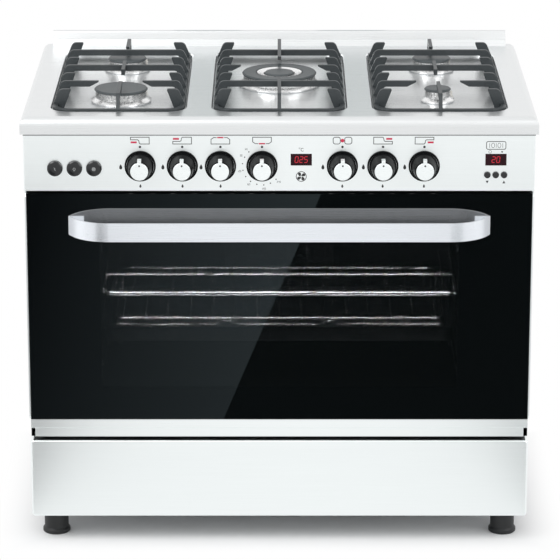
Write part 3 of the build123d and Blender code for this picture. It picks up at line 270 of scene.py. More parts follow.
def digits(number, height, line, rise, lean=0.0):
    """A number in straight segments: each digit is half as wide as it is high, the row centred on its middle."""
    parts = []
    for index, digit in enumerate(number):
        shift = (index - (len(number) - 1) / 2.0) * height * 0.78
        for segment in DIGIT_SEGMENTS[digit]:
            ends = np.array(SEGMENT_ENDS[segment]) * (height / 2.0)
            gap = (ends[1] - ends[0]) * line * 0.55 / height
            path = ends + np.stack([gap, -gap])
            path[:, 0] += shift + lean * path[:, 1]
            parts.append(band(path, line, rise))
    return joined(parts)


# Finishes


SOCKETS = {"VALUE": "NodeSocketFloat", "VECTOR": "NodeSocketVector", "RGBA": "NodeSocketColor"}
BLACK = (0.0, 0.0, 0.0, 1.0)
WHITE = (1.0, 1.0, 1.0, 1.0)


def first(value):
    """The first enabled output of a node; any other value as it is."""
    return next(out for out in value.outputs if out.enabled) if isinstance(value, bpy.types.Node) else value


def node(tree, kind, inputs=None, **fields):
    """Adds a shader node with its fields, then its inputs by title or number: values, outputs or whole nodes."""
    made = tree.nodes.new("ShaderNode" + kind)
    for title, value in fields.items():
        setattr(made, title, value)
    for place, value in (inputs or {}).items():
        value = first(value)
        if isinstance(value, bpy.types.NodeSocket):
            tree.links.new(value, made.inputs[place])
        else:
            made.inputs[place].default_value = value
    return made


def object_place(tree):
    """The Object coordinates of the point that is shaded."""
    return node(tree, "TexCoord").outputs["Object"]


def reckon(tree, operation, *values, kind="Math"):
    """A Math node, or a VectorMath node, with these inputs."""
    return node(tree, kind, dict(enumerate(values)), operation=operation)


def open_group(name, **defaults):
    """A shader node group whose inputs have these titles and default values; gives it and its entry's outputs."""
    group = bpy.data.node_groups.new(name, "ShaderNodeTree")
    for title, value in defaults.items():
        kind = "VALUE" if isinstance(value, float) else ("VECTOR", "RGBA")[len(value) - 3]
        socket = group.interface.new_socket(title.replace("_", " "), in_out="INPUT", socket_type=SOCKETS[kind])
        socket.default_value = value
    return group, group.nodes.new("NodeGroupInput").outputs


def close_group(group, **results):
    """Gives a group its outputs, each with the title, type and value of a result."""
    results = {title: first(result) for title, result in results.items()}
    for title, result in results.items():
        group.interface.new_socket(title, in_out="OUTPUT", socket_type=SOCKETS[result.type])
    leave = group.nodes.new("NodeGroupOutput")
    for title, result in results.items():
        group.links.new(result, leave.inputs[title])
    return group


def grain_group():
    """Grain or brushing: noise on Object coordinates, stretched, blends two colours and two roughnesses."""
    group, given = open_group("Surface grain", Stretch=(1.0,) * 3, Dark=BLACK, Light=WHITE, Smooth=0.3, Rough=0.5)
    stretched = reckon(group, "MULTIPLY", object_place(group), given["Stretch"], kind="VectorMath")
    noise = node(group, "TexNoise", {"Vector": stretched, "Scale": 1.0, "Detail": 4.0})
    height = node(group, "MapRange", {"Value": noise, "From Min": 0.3, "From Max": 0.7})
    tint = node(group, "Mix", {"Factor": height, "A": given["Dark"], "B": given["Light"]}, data_type="RGBA")
    rough = node(group, "MapRange", {"Value": height, "To Min": given["Smooth"], "To Max": given["Rough"]})
    return close_group(group, Colour=tint, Roughness=rough, Height=height)


def smudge_group():
    """Handling marks: broad soft noise adds a little to a roughness."""
    group, given = open_group("Smudges", Roughness=0.3, Amount=0.05, Scale=9.0)
    noise = node(group, "TexNoise", {"Vector": object_place(group), "Scale": given["Scale"], "Detail": 3.0})
    marked = reckon(group, "MULTIPLY_ADD", noise, given["Amount"], given["Roughness"])
    return close_group(group, Roughness=marked)


def speckle_group():
    """Enamel specks: small cells whose middles lie near show a second colour over the first."""
    group, given = open_group("Enamel specks", Colour=BLACK, Speck=WHITE, Scale=260.0, Size=0.2)
    cells = node(group, "TexVoronoi", {"Vector": object_place(group), "Scale": given["Scale"]})
    inside = reckon(group, "LESS_THAN", cells, given["Size"])
    tint = node(group, "Mix", {"Factor": inside, "A": given["Colour"], "B": given["Speck"]}, data_type="RGBA")
    return close_group(group, Colour=tint)


def painted_end_highlight_group():
    """One value in the middle of a long piece and another beyond its bends, by the distance from X zero. On the
    handle it lowers the metal beyond the bends so that the ends show pale instead of mirroring: a painted highlight.
    """
    group, given = open_group("Bend fade", Start=0.3, End=0.35, Middle=1.0, Outside=0.3)
    across = node(group, "SeparateXYZ", {0: object_place(group)})
    fade = node(group, "MapRange", {
        "Value": reckon(group, "ABSOLUTE", across), "From Min": given["Start"], "From Max": given["End"],
        "To Min": given["Middle"], "To Max": given["Outside"]}, interpolation_type="SMOOTHSTEP")
    return close_group(group, Value=fade)


def window_group():
    """A printed border: opaque outside a rectangle in X and Z; inside it clearer, with a mirror coat instead."""
    group, given = open_group("Printed border", Middle=(0.0, 0.0, 0.0), Half_width=0.3, Half_height=0.15, Inside=0.5)
    shift = reckon(group, "SUBTRACT", object_place(group), given["Middle"], kind="VectorMath")
    size = reckon(group, "ABSOLUTE", shift, kind="VectorMath")
    axes = node(group, "SeparateXYZ", {0: size}).outputs
    across = reckon(group, "GREATER_THAN", axes["X"], given["Half width"])
    upright = reckon(group, "GREATER_THAN", axes["Z"], given["Half height"])
    border = reckon(group, "MAXIMUM", across, upright)
    return close_group(group, Alpha=reckon(group, "MAXIMUM", border, given["Inside"]),
                       Coat=reckon(group, "SUBTRACT", 1.0, border))


groups = {}


def use_group(tree, make, **values):
    """Places a group in a material, making it the first time, and sets its inputs by name."""
    if make.__name__ not in groups:
        groups[make.__name__] = make()
    placed = node(tree, "Group", node_tree=groups[make.__name__])
    for title, value in values.items():
        socket = placed.inputs[title.replace("_", " ")]
        socket.default_value = (*value, 1.0) if socket.type == "RGBA" else value
    return placed


def insides(material):
    """A material's node tree and the Principled shader in it."""
    return material.node_tree, material.node_tree.nodes["Principled BSDF"]


def shade(base, factor):
    """A lighter or darker tone of a colour."""
    return tuple(min(1.0, channel * factor) for channel in base)


def finish(name, base, contrast, stretch, roughness, metallic=0.0, bump=0.0, smudge=0.04, **fixed):
    """A material of grain and smudges: base colour spread by a contrast, the grain's fineness as one number or
    three, a pair of roughnesses, a bump depth in metres, and fixed values for the shader's own sockets."""
    material = bpy.data.materials.new(name)
    material.use_nodes = True
    tree, shader = insides(material)
    grain = use_group(tree, grain_group, Stretch=tuple(np.broadcast_to(stretch, 3)),
                      Dark=shade(base, 1.0 - contrast), Light=shade(base, 1.0 + contrast),
                      Smooth=roughness[0], Rough=roughness[1])
    smudges = use_group(tree, smudge_group, Amount=smudge)
    tree.links.new(grain.outputs["Colour"], shader.inputs["Base Color"])
    tree.links.new(grain.outputs["Roughness"], smudges.inputs["Roughness"])
    tree.links.new(smudges.outputs["Roughness"], shader.inputs["Roughness"])
    if bump:
        relief = node(tree, "Bump", {"Distance": bump, "Height": grain.outputs["Height"]})
        tree.links.new(relief.outputs["Normal"], shader.inputs["Normal"])
    shader.inputs["Metallic"].default_value = metallic
    for title, value in fixed.items():
        shader.inputs[title.replace("_", " ")].default_value = value
    return material


def polish(material):
    """Makes a material mirror-sharp: nothing drives its roughness, which is nought."""
    tree, shader = insides(material)
    rough = shader.inputs["Roughness"]
    for link in list(rough.links):
        tree.links.remove(link)
    rough.default_value = 0.0


def chrome_finish(name):
    """Bright chrome on wire."""
    return finish(name, (0.86, 0.87, 0.88), 0.02, 300.0, (0.16, 0.17), metallic=1.0, smudge=0.01)


def dress(slot, material):
    """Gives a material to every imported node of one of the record's material slots."""
    for subpart in frame["record"]["subparts"]:
        if subpart["material_slot"] == slot:
            dress_node(subpart["node"], material)


def dress_node(name, material):
    """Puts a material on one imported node."""
    for place in nodes[name].material_slots:
        place.material = material


def coat(slot, *look, **more):
    """Makes a finish and gives it to a material slot."""
    dress(slot, finish(*look, **more))


def settings(context):
    """The three groups of values: finishes, fittings and stage."""
    scene = context.scene
    return scene.cooker_finishes, scene.cooker_fittings, scene.cooker_stage


class COOKER_OT_metalwork(bpy.types.Operator):
    """Steel, paint, zinc, aluminium, chrome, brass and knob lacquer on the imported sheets, tubes, wires and knobs"""

    bl_idname = "cooker.metalwork"
    bl_label = "Finish metalwork"

    def execute(self, context):
        colours = settings(context)[0]
        brushed = (8.0, 2600.0, 2600.0)
        coat("stainless", "brushed steel front", colours.steel, 0.02, brushed, (0.26, 0.34), metallic=1.0, bump=6e-6)
        coat("hob_steel", "pressed hob steel", colours.hob_steel, 0.015, brushed, (0.24, 0.32), metallic=1.0,
             bump=4e-6)
        handle = finish("bent handle steel", colours.handle, 0.02, brushed, (0.24, 0.30), bump=6e-6)
        tree, shader = insides(handle)
        # Less metal beyond the bends makes the handle's ends show pale: a painted highlight.
        ends = use_group(tree, painted_end_highlight_group, Start=0.332, End=0.352, Middle=0.8, Outside=0.2)
        tree.links.new(ends.outputs["Value"], shader.inputs["Metallic"])
        dress_node("door_handle", handle)
        coat("carcass_paint", "silver powder coat", colours.paint, 0.04, 900.0, (0.42, 0.55), metallic=0.3, bump=4e-5)
        coat("galvanised", "zinc sheet", colours.zinc, 0.07, 60.0, (0.34, 0.52), metallic=0.9)
        coat("burner_aluminium", "cast burner aluminium", colours.aluminium, 0.04, 500.0, (0.20, 0.32), metallic=1.0,
             bump=3e-5)
        coat("burner_steel", "heat-resisting steel", (0.38, 0.36, 0.34), 0.10, (40.0, 300.0, 300.0), (0.32, 0.45),
             metallic=1.0)
        dress("chrome_wire", chrome_finish("chrome wire"))
        coat("dark_chrome", "black knob lacquer", colours.knob, 0.08, 300.0, (0.16, 0.22), Specular_IOR_Level=0.02)
        coat("tap_brass", "tap brass", (0.62, 0.47, 0.22), 0.06, 400.0, (0.25, 0.36), metallic=1.0)
        return {"FINISHED"}


class COOKER_OT_iron_and_enamel(bpy.types.Operator):
    """Cast iron on the pan supports, matt enamel on the burner caps, speckled enamel in the oven"""

    bl_idname = "cooker.iron_and_enamel"
    bl_label = "Finish iron and enamel"

    def execute(self, context):
        colours = settings(context)[0]
        coat("cast_iron", "enamelled cast iron", colours.iron, 0.18, 420.0, (0.34, 0.48), bump=1.6e-4,
             Specular_IOR_Level=0.6)
        coat("cap_enamel", "matt cap enamel", colours.cap, 0.10, 800.0, (0.36, 0.46), bump=3e-5)
        enamel = finish("speckled oven enamel", colours.enamel, 0.08, 60.0, (0.40, 0.50), Specular_IOR_Level=0.08)
        tree, shader = insides(enamel)
        base = shader.inputs["Base Color"].links[0].from_socket
        specks = use_group(tree, speckle_group, Speck=(0.014, 0.015, 0.016), Scale=240.0, Size=0.22)
        tree.links.new(base, specks.inputs["Colour"])
        tree.links.new(specks.outputs["Colour"], shader.inputs["Base Color"])
        dress("oven_enamel", enamel)
        for name in ("rack_rails", "fan_cover", "fan_wheel"):
            dress_node(name, enamel)
        return {"FINISHED"}


class COOKER_OT_plastic_and_rubber(bpy.types.Operator):
    """Black plastic on feet and buttons, rubber on the door seal, ceramic on the spark electrodes"""

    bl_idname = "cooker.plastic_and_rubber"
    bl_label = "Finish plastic and rubber"

    def execute(self, context):
        coat("foot_plastic", "foot plastic", (0.009, 0.010, 0.011), 0.15, 700.0, (0.42, 0.55), bump=5e-5)
        coat("black_plastic", "gloss black plastic", (0.008, 0.009, 0.010), 0.10, 500.0, (0.14, 0.22))
        coat("seal_rubber", "seal rubber", (0.018, 0.018, 0.019), 0.15, 400.0, (0.55, 0.70), bump=5e-5)
        coat("ceramic", "glazed ceramic", (0.82, 0.80, 0.75), 0.03, 200.0, (0.15, 0.25))
        return {"FINISHED"}


# How far the door glass's printed border reaches over the inner glass: at the sides, at the top and bottom
BORDER_SIDE, BORDER_TOP = 0.026, 0.030


class COOKER_OT_glass(bpy.types.Operator):
    """Reflective black door glass with an opaque printed border, clear inner glass, lamp glass, red windows"""

    bl_idname = "cooker.glass"
    bl_label = "Finish glass"

    def execute(self, context):
        colours = settings(context)[0]
        low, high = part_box("door_glass_inner")
        door = finish("black door glass", colours.glass, 0.05, 3.0, (0.0, 0.0), smudge=0.0, IOR=4.0,
                      Coat_IOR=4.0, Coat_Roughness=0.0)
        tree, shader = insides(door)
        polish(door)
        border = use_group(tree, window_group, Middle=tuple((low + high) / 2.0), Inside=0.6,
                           Half_width=(high.x - low.x) / 2.0 - BORDER_SIDE,
                           Half_height=(high.z - low.z) / 2.0 - BORDER_TOP)
        tree.links.new(border.outputs["Alpha"], shader.inputs["Alpha"])
        tree.links.new(border.outputs["Coat"], shader.inputs["Coat Weight"])
        dress("door_glass", door)
        inner = finish("clear door glass", (0.02, 0.024, 0.024), 0.02, 4.0, (0.0, 0.0), smudge=0.0, Alpha=0.06)
        polish(inner)
        dress("clear_glass", inner)
        coat("lamp_glass", "pressed lamp glass", (0.85, 0.85, 0.82), 0.05, 80.0, (0.08, 0.2), Alpha=0.45)
        coat("display_red", "red display window", (0.018, 0.003, 0.006), 0.2, 120.0, (0.06, 0.10),
             Specular_IOR_Level=0.15)
        return {"FINISHED"}


def print_material(name, base):
    """Screen-print ink: a slightly uneven satin colour."""
    return finish(name, base, 0.06, 600.0, (0.38, 0.5))


def panel_face():
    """Where the flat of the control panel lies, in one plane with the drawer front."""
    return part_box("drawer_front")[0].y


# A knob's pointer fin from front to back: depths behind the knob's face and heights over its middle
FIN_DEPTHS, FIN_TOPS = (0.0004, 0.0200), (0.0201, 0.0229)
COVER_FOOT, COVER_END = 0.0150, 0.0180

# The index dot on a knob plate: its radius and height, and its place as a share of the plate's radius
INDEX_RADIUS, INDEX_HEIGHT, INDEX_SHARE = 0.0016, 0.00015, 0.66


def pointer_cover(width):
    """A thin bright cover over the front of a knob's pointer fin: four-cornered sections follow the fin's slope,
    with one more section drawn together at each end."""
    back = np.array([0.0004, 0.0004, 0.0030, 0.0060, 0.0085, 0.0085])
    top = np.interp(back, FIN_DEPTHS, FIN_TOPS)
    low = np.full(6, COVER_FOOT)
    half = np.array([0.0, 0.5, 0.5, 0.5, 0.5, 0.0]) * width
    closed = half == 0.0
    top[closed] = low[closed] = COVER_END
    u = np.stack([-half, half, half, -half], -1)
    v = np.stack([low, low, top, top], -1)
    return rings(u, v, -back[:, None])


class COOKER_OT_knob_plates(bpy.types.Operator):
    """A bright turned plate with a black index dot on the face of each knob, and a bright cover on its pointer"""

    bl_idname = "cooker.knob_plates"
    bl_label = "Add knob plates"

    def execute(self, context):
        colours, fittings, _ = settings(context)
        bright = finish("turned knob plate", shade(colours.steel, 1.04), 0.03, (200.0, 200.0, 1200.0), (0.24, 0.34),
                        metallic=1.0)
        ink = print_material("index dot ink", colours.print_black)
        radius, height = fittings.plate_radius, fittings.plate_height
        edge = np.linspace(0.0, pi / 2.0, 6)
        rim = np.stack([radius - height * (1.0 - np.sin(edge)), height * np.cos(edge)], -1)
        middle = np.stack([np.linspace(0.0, radius * 0.93, 8), np.full(8, height)], -1)
        disc = turned(np.concatenate([middle, rim, [[0.0, 0.0]]]))
        dot = patch(circle(INDEX_RADIUS, 24), INDEX_HEIGHT)
        pointer = pointer_cover(fittings.pointer_width)
        for name in KNOBS:
            x, _, z = joint_places[f"control_{name}_turn"]
            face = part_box(f"knob_{name}")[0].y
            body = f"control_{name}"
            piece(f"knob_pointer_{name}", [on_front(pointer, x, face, z)], bright, body=body)
            piece(f"knob_plate_{name}", [on_front(disc, x, face, z)], bright, True, body)
            index = on_front(dot, x, face - height, z + radius * INDEX_SHARE)
            piece(f"knob_dot_{name}", [index], ink, body=body)
        return {"FINISHED"}


# Burner signs in shares of their width and height: the line, then the size and place of the burner's mark. The hob's
# plan has a corner cut out for the burner meant; the oven in front view is open where its flame is.
HOB_SIGN = (((-0.5, 0.5), (0.5, 0.5), (0.5, -0.5), (0.02, -0.5), (-0.03, -0.38), (-0.06, 0.02), (-0.12, 0.12),
             (-0.5, 0.12)), (0.32, 0.27), (-0.33, -0.26))
OVEN_SIGN = (((-0.2, 0.45), (-0.36, 0.45), (-0.5, 0.18), (-0.5, -0.5), (0.5, -0.5), (0.5, 0.18), (0.36, 0.45),
              (0.2, 0.45)), (0.33, 0.2), (0.0, 0.45))

# Flame marks beside and under a knob: width and height, then the place right of and above the knob's middle
FLAME_MARKS = (((0.0052, 0.0092), -0.0342, -0.0015), ((0.0035, 0.0063), 0.0, -0.0362))


class COOKER_OT_panel_signs(bpy.types.Operator):
    """Burner signs, off dots and flame marks printed on the control panel"""

    bl_idname = "cooker.panel_signs"
    bl_label = "Add panel signs"

    def execute(self, context):
        colours, fittings, _ = settings(context)
        face = panel_face()
        rise, line = fittings.print_height, fittings.line
        width, height = fittings.sign_width, fittings.sign_height
        black, red = [], []
        for name in KNOBS:
            x, _, z = joint_places[f"control_{name}_turn"]
            top = z + fittings.sign_rise
            black.append(on_front(patch(circle(fittings.dot_radius), rise), x, face, z + fittings.dot_rise))
            if name == "centre":
                half = band(rounded_box(width * 0.38, height, height * 0.3), line, rise, True)
                black += [on_front(half, x + side * width * 0.31, face, top) for side in (-1, 1)]
                burner = circle(height * 0.27)
            else:
                in_oven = name in ("grill", "oven")
                path, size, place = OVEN_SIGN if in_oven else HOB_SIGN
                turn = np.array([-width if "right" in name else width,
                                 -height if name == "oven" or "rear" in name else height])
                black.append(on_front(band(path * turn, line, rise, not in_oven), x, face, top))
                burner = (bar(*size) + place) * turn
            red.append(on_front(patch(burner, rise), x, face, top))
            if name != "oven":
                black += [on_front(patch(flame(*size), rise), x + right, face, z + up)
                          for size, right, up in FLAME_MARKS]
        ink = print_material("black sign ink", colours.print_black)
        piece("panel_signs_black", black, ink)
        piece("panel_signs_red", red, print_material("red sign ink", colours.print_red))
        return {"FINISHED"}


# The oven dial: its marks, with the first angle and the step in degrees, and the radii of its two rings
DIAL_MARKS, DIAL_START, DIAL_STEP = 10, 132.0, 20.4
DOT_RING, NUMBER_RING = 0.0345, 0.0412
DIAL_DOT, NUMBER_HEIGHT, NUMBER_LINE = 0.0011, 0.0030, 0.00042


class COOKER_OT_oven_dial(bpy.types.Operator):
    """Dots and plain numbers round the oven knob"""

    bl_idname = "cooker.oven_dial"
    bl_label = "Add oven dial"

    def execute(self, context):
        colours, fittings, _ = settings(context)
        face = panel_face()
        x, _, z = joint_places["control_oven_turn"]
        rise = fittings.print_height
        parts = []
        for index in range(DIAL_MARKS):
            angle = radians(DIAL_START + DIAL_STEP * index)
            out = np.array([cos(angle), sin(angle)])
            u, v = DOT_RING * out
            parts.append(on_front(patch(circle(DIAL_DOT, 16), rise), x + u, face, z + v))
            if index % 2 == 1 or index == 0:
                u, v = NUMBER_RING * out
                number = digits(str(60 + 20 * index), NUMBER_HEIGHT, NUMBER_LINE, rise)
                parts.append(on_front(number, x + u, face, z + v))
        piece("oven_dial", parts, print_material("dial ink", colours.print_black))
        return {"FINISHED"}


def fan_mark(radius, line, rise):
    """A ring round four petal blades, each a drop turned a quarter further and set aslant."""
    parts = [band(circle(radius, 40), line, rise, True)]
    for index in range(4):
        angle = index * pi / 2.0 + radians(20.0)
        petal = flame(radius * 0.62, radius * 0.86) + (radius * 0.16, -radius * 0.46)
        turn = np.array([[cos(angle), sin(angle)], [-sin(angle), cos(angle)]])
        parts.append(patch(petal @ turn, rise))
    return joined(parts)


# A display's half width as a share of its height, and its digits: height, line width, rise and lean
WINDOW_SHARE = 37.0 / 42.0
DISPLAY_DIGITS = (0.0105, 0.0013, 0.00008, 0.1)

# Signs round the displays, above the middle of their window unless named a drop
FAN_RADIUS, FAN_DROP = 0.0088, 0.0305
COUNTER_RISE, CLOCK_RISE, CLOCK_SHIFT = 0.0258, 0.0142, 0.0105
ARROW_DROP = 0.0075
ARROW = np.array([(-0.0026, -0.0024), (0.0026, -0.0024), (0.0, 0.0026)])


class COOKER_OT_displays(bpy.types.Operator):
    """Glowing digits in both windows, and the signs round them"""

    bl_idname = "cooker.displays"
    bl_label = "Add displays"

    def execute(self, context):
        colours, fittings, _ = settings(context)
        low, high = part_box("display_windows")
        rise, line = fittings.print_height, fittings.line
        half = (high.z - low.z) * WINDOW_SHARE
        middle = (low.z + high.z) / 2.0
        left, right = low.x + half, high.x - half
        glow = finish("glowing digits", colours.digit, 0.1, 300.0, (0.3, 0.4), Emission_Strength=0.13,
                      Emission_Color=(*colours.digit, 1.0))
        numbers = [on_front(digits(number, *DISPLAY_DIGITS), x, low.y, middle)
                   for number, x in (("025", left), ("20", right))]
        piece("display_digits", numbers, glow)
        degree = band(circle(0.0011, 16), 0.0005, rise, True)
        arc = band(circle(0.0026, 20, radians(45), radians(270)), 0.0008, rise)
        counter = band(rounded_box(0.034, 0.014, 0.003), line, rise, True)
        nought = band(circle(1.0, 24) * (0.0028, 0.0042), 0.0007, rise, True)
        stroke = band([(0, -0.0042), (0, 0.0042)], 0.0007, rise)
        top, under = middle + COUNTER_RISE, middle + CLOCK_RISE
        signs = [(fan_mark(FAN_RADIUS, line, rise), left, middle - FAN_DROP), (degree, left - 0.003, middle + 0.0205),
                 (arc, left + 0.002, middle + 0.018), (counter, right, top)]
        signs += [(nought, right + shift, top) for shift in (-0.0055, 0.0055)]
        signs += [(stroke, right + shift, top) for shift in (-0.0115, 0.0, 0.0115)]
        signs += [(band(circle(0.0024, 20), 0.0006, rise, True), right - CLOCK_SHIFT, under),
                  (patch(circle(0.0015, 16), rise), right + CLOCK_SHIFT, under)]
        for name, way in (("down", -1.0), ("up", 1.0)):
            start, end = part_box(f"timer_button_{name}")
            signs.append((patch(ARROW * (1.0, way), rise), (start.x + end.x) / 2.0, start.z - ARROW_DROP))
        face = panel_face()
        ink = print_material("display sign ink", colours.print_black)
        piece("display_signs", [on_front(sign, x, face, z) for sign, x, z in signs], ink)
        return {"FINISHED"}


class COOKER_OT_button_signs(bpy.types.Operator):
    """Grey signs on the three large push-buttons: a spark, a lamp and a fan"""

    bl_idname = "cooker.button_signs"
    bl_label = "Add button signs"

    def execute(self, context):
        grey = print_material("grey sign ink", (0.30, 0.31, 0.31))
        rise, line = 0.0001, 0.0007
        spark = band([(-0.0016, 0.0028), (0.0008, 0.0006), (-0.0008, -0.0004), (0.0016, -0.0028)], line, rise)
        foot = band([(-0.001, -0.0032), (0.001, -0.0032)], line, rise)
        lamp = joined([band(circle(0.0021, 24), line, rise, True), foot])
        signs = {"ignition": spark, "lamp": lamp, "fan": fan_mark(0.0030, line, rise)}
        for name, sign in signs.items():
            low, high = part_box(f"button_{name}")
            place = on_front(sign, (low.x + high.x) / 2.0, low.y, (low.z + high.z) / 2.0)
            piece(f"button_sign_{name}", [place], grey, body=f"push_{name}")
        return {"FINISHED"}


# How much of the hob nose's overhang hides the panel's top from the camera, and the thickness of the dark strip
# there, which paints the shadow in the gap under the nose
HIDDEN_SHARE, SHADE_STRIP_DEPTH = 0.3, 0.0004


class COOKER_OT_edge_trims(bpy.types.Operator):
    """Thin bright trims along the two upright edges of the door glass, and a dark strip under the hob's nose that
    paints the shadow in the gap there
    """

    bl_idname = "cooker.edge_trims"
    bl_label = "Add edge trims"

    def execute(self, context):
        colours, fittings, _ = settings(context)
        low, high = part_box("door_glass_outer")
        depth = (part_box("door_frame")[1].y - low.y) / 1.5
        steel = finish("edge trim steel", colours.steel, 0.02, (2600.0, 2600.0, 8.0), (0.28, 0.36), metallic=1.0)
        upright = patch(bar(fittings.trim_width, high.z - low.z), depth)
        middle = (low.z + high.z) / 2.0
        shift = fittings.trim_width / 2.0
        parts = [on_front(upright, x, low.y + depth, middle) for x in (low.x - shift, high.x + shift)]
        piece("door_edge_trims", parts, steel, body="oven_door")
        low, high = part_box("control_panel")
        # The dark strip under the hob's nose, finished like rubber, is painted shade: it stands for the shadow in the
        # gap there.
        rubber = finish("hob seal rubber", (0.05, 0.052, 0.054), 0.1, 400.0, (0.5, 0.6))
        drop = HIDDEN_SHARE * (low.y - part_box("hob_top")[0].y) + fittings.shade_strip_height / 2.0
        seal = on_front(patch(bar(high.x - low.x, fittings.shade_strip_height), SHADE_STRIP_DEPTH), (low.x + high.x) / 2.0, low.y,
                        high.z - drop)
        piece("hob_seal", [seal], rubber)
        return {"FINISHED"}


def tube(path, radius, steps=12):
    """A round wire along a path in X and Z: each section is a circle square to the path's slope, and one more
    section drawn together closes each end."""
    path = np.asarray(path, float)
    slope = np.gradient(path, axis=0)
    slope /= np.linalg.norm(slope, axis=1, keepdims=True)
    size = np.full(len(path) + 2, radius)
    size[[0, -1]] = 0.0
    path = np.concatenate([path[:1], path, path[-1:]])
    slope = np.concatenate([slope[:1], slope, slope[-1:]])
    out, side = size[:, None] * circle(1.0, steps).T[:, None]
    x = path[:, :1] - out * slope[:, 1:]
    z = path[:, 1:] + out * slope[:, :1]
    return rings(x, side, z)


def post(levels, radius, *place):
    """A short upright wire that stands at a place and has sections at these levels above it."""
    points, quads = tube([(0.0, level) for level in levels], radius)
    return points + place, quads


# The grill rack's front rod below its top, the grip wire below the rod, and the wire's two humps along X
ROD_DROP, GRIP_DROP, GRIP_INSET = 0.0046, 0.0108, 0.004
HUMP_PLACE, HUMP_FLAT, HUMP_SLOPE, HUMP_HEIGHT = 0.095, 0.004, 0.014, 0.0068

# The rack's wires and their turned-up ends; the shelf's stops, with their places from its ends
RACK_WIRES, RACK_PITCH, END_LEVELS, END_RADIUS = 17, 0.037, (0.0, 0.003, 0.0055), 0.0017
STOP_RISE, STOP_LEVELS, STOP_PLACES = 0.0035, (0.0, 0.004, 0.008, 0.0095), (0.006, 0.040)


class COOKER_OT_oven_wires(bpy.types.Operator):
    """The grip wire under the grill rack's front rod, the ends of the rack's wires, and the oven shelf's end stops"""

    bl_idname = "cooker.oven_wires"
    bl_label = "Add oven wires"

    def execute(self, context):
        radius = settings(context)[1].wire_radius
        chrome = chrome_finish("grip wire chrome")
        low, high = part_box("grill_pan_rack")
        rod = high.z - ROD_DROP
        x = np.linspace(low.x + GRIP_INSET, high.x - GRIP_INSET, 420)
        share = np.clip((np.abs(np.abs(x) - HUMP_PLACE) - HUMP_FLAT) / HUMP_SLOPE, 0.0, 1.0)
        hump = HUMP_HEIGHT * (0.5 + 0.5 * np.cos(pi * share))
        points, quads = tube(np.stack([x, rod - GRIP_DROP + hump], -1), radius)
        grip = points + (0.0, low.y + 0.0008, 0.0), quads
        piece("rack_grip_wire", [grip], chrome, True)
        row = (np.arange(RACK_WIRES) - (RACK_WIRES - 1) / 2.0) * RACK_PITCH
        row = row[np.abs(row) < high.x - 0.006]
        ends = [post(END_LEVELS, END_RADIUS, place, low.y + 0.0016, rod) for place in row]
        piece("rack_wire_ends", ends, chrome, True)
        low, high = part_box("oven_shelf")
        places = [low.x + inset for inset in STOP_PLACES] + [high.x - inset for inset in reversed(STOP_PLACES)]
        stops = [post(STOP_LEVELS, radius, place, low.y + 0.0045, low.z + STOP_RISE) for place in places]
        piece("shelf_stops", stops, chrome, True)
        return {"FINISHED"}


def screw_head(radius, steps=48):
    """A pan head with a crossed slot: height is a flat-topped dome over the radius, less the slot's depth
    where the point is near either cross line."""
    share = np.array([0.0, 0.12, 0.2, 0.3, 0.42, 0.55, 0.7, 0.84, 0.94, 1.0, 1.0])
    u, v = radius * share[:, None] * circle(1.0, steps).T[:, None]
    dome = radius * 0.55 * np.sqrt(np.maximum(1.0 - share ** 4, 0.0))
    dome[-2] = radius * 0.18
    dome[-1] = -radius * 0.1
    slot = (np.minimum(np.abs(u), np.abs(v)) < radius * 0.13) & (share[:, None] < 0.62)
    return rings(u, v, dome[:, None] - np.where(slot, radius * 0.3, 0.0))


# Screws of the back panel: distance from its edges, and where the rows and columns begin; of the sides: height above
# the foot, and distance from the front and rear edge
BACK_EDGE, ROW_START, COLUMN_START = 0.012, 0.03, 0.2
SIDE_RISE, SIDE_FRONT, SIDE_REAR = 0.02, 0.08, 0.06


class COOKER_OT_screws(bpy.types.Operator):
    """Cross-slot screws round the back panel and along the foot of each side"""

    bl_idname = "cooker.screws"
    bl_label = "Add screws"

    def execute(self, context):
        fittings = settings(context)[1]
        points, quads = screw_head(fittings.screw_radius)
        u, v, h = points.T
        zinc = finish("screw zinc", (0.62, 0.63, 0.64), 0.06, 300.0, (0.25, 0.4), metallic=1.0)
        low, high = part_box("back_panel")
        rows = np.linspace(low.z + ROW_START, high.z - ROW_START, 5)
        columns = np.linspace(low.x + COLUMN_START, high.x - COLUMN_START, 3)
        places = [(x, z) for x in (low.x + BACK_EDGE, high.x - BACK_EDGE) for z in rows]
        places += [(x, z) for x in columns for z in (low.z + BACK_EDGE, high.z - BACK_EDGE)]
        back = [(np.stack([x - u, high.y + h, z + v], -1), quads) for x, z in places]
        piece("back_screws", back, zinc, True)
        low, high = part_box("side_panels")
        sides = []
        for y in np.linspace(low.y + SIDE_FRONT, high.y - SIDE_REAR, 3):
            for place in ([high.x + h, y + u], [low.x - h, y - u]):
                sides.append((np.stack([*place, low.z + SIDE_RISE + v], -1), quads))
        piece("side_screws", sides, zinc, True)
        return {"FINISHED"}


# What mirror-sharp door glass sees of the floor and the surroundings, and the tints of the studio flags
DARK_SURROUND = (0.0044, 0.0060, 0.0061, 1.0)
SHARP_TINT = (0.78, 1.0, 1.08, 1.0)
SATIN_TINT = (0.95, 1.0, 1.0, 1.0)
SKY_TINT = (0.97, 0.985, 1.0, 1.0)

# Upright flags in pairs, for the ends of the steel fronts, the handle's bends and the hob's deck: two floor points
# on the right, two levels, left and right tone
FLAG_PAIRS = {
    "side_flag": (((0.475, -0.38), (0.475, -1.5)), (0.01, 0.42), (0.02, 0.36)),
    "bend_flag": (((0.51, -1.07), (0.78, -0.95)), (0.20, 0.46), (0.03, 0.5)),
    "deck_flag": (((0.075, 0.36), (0.205, 0.36)), (0.83, 1.25), (0.74, 0.74))}

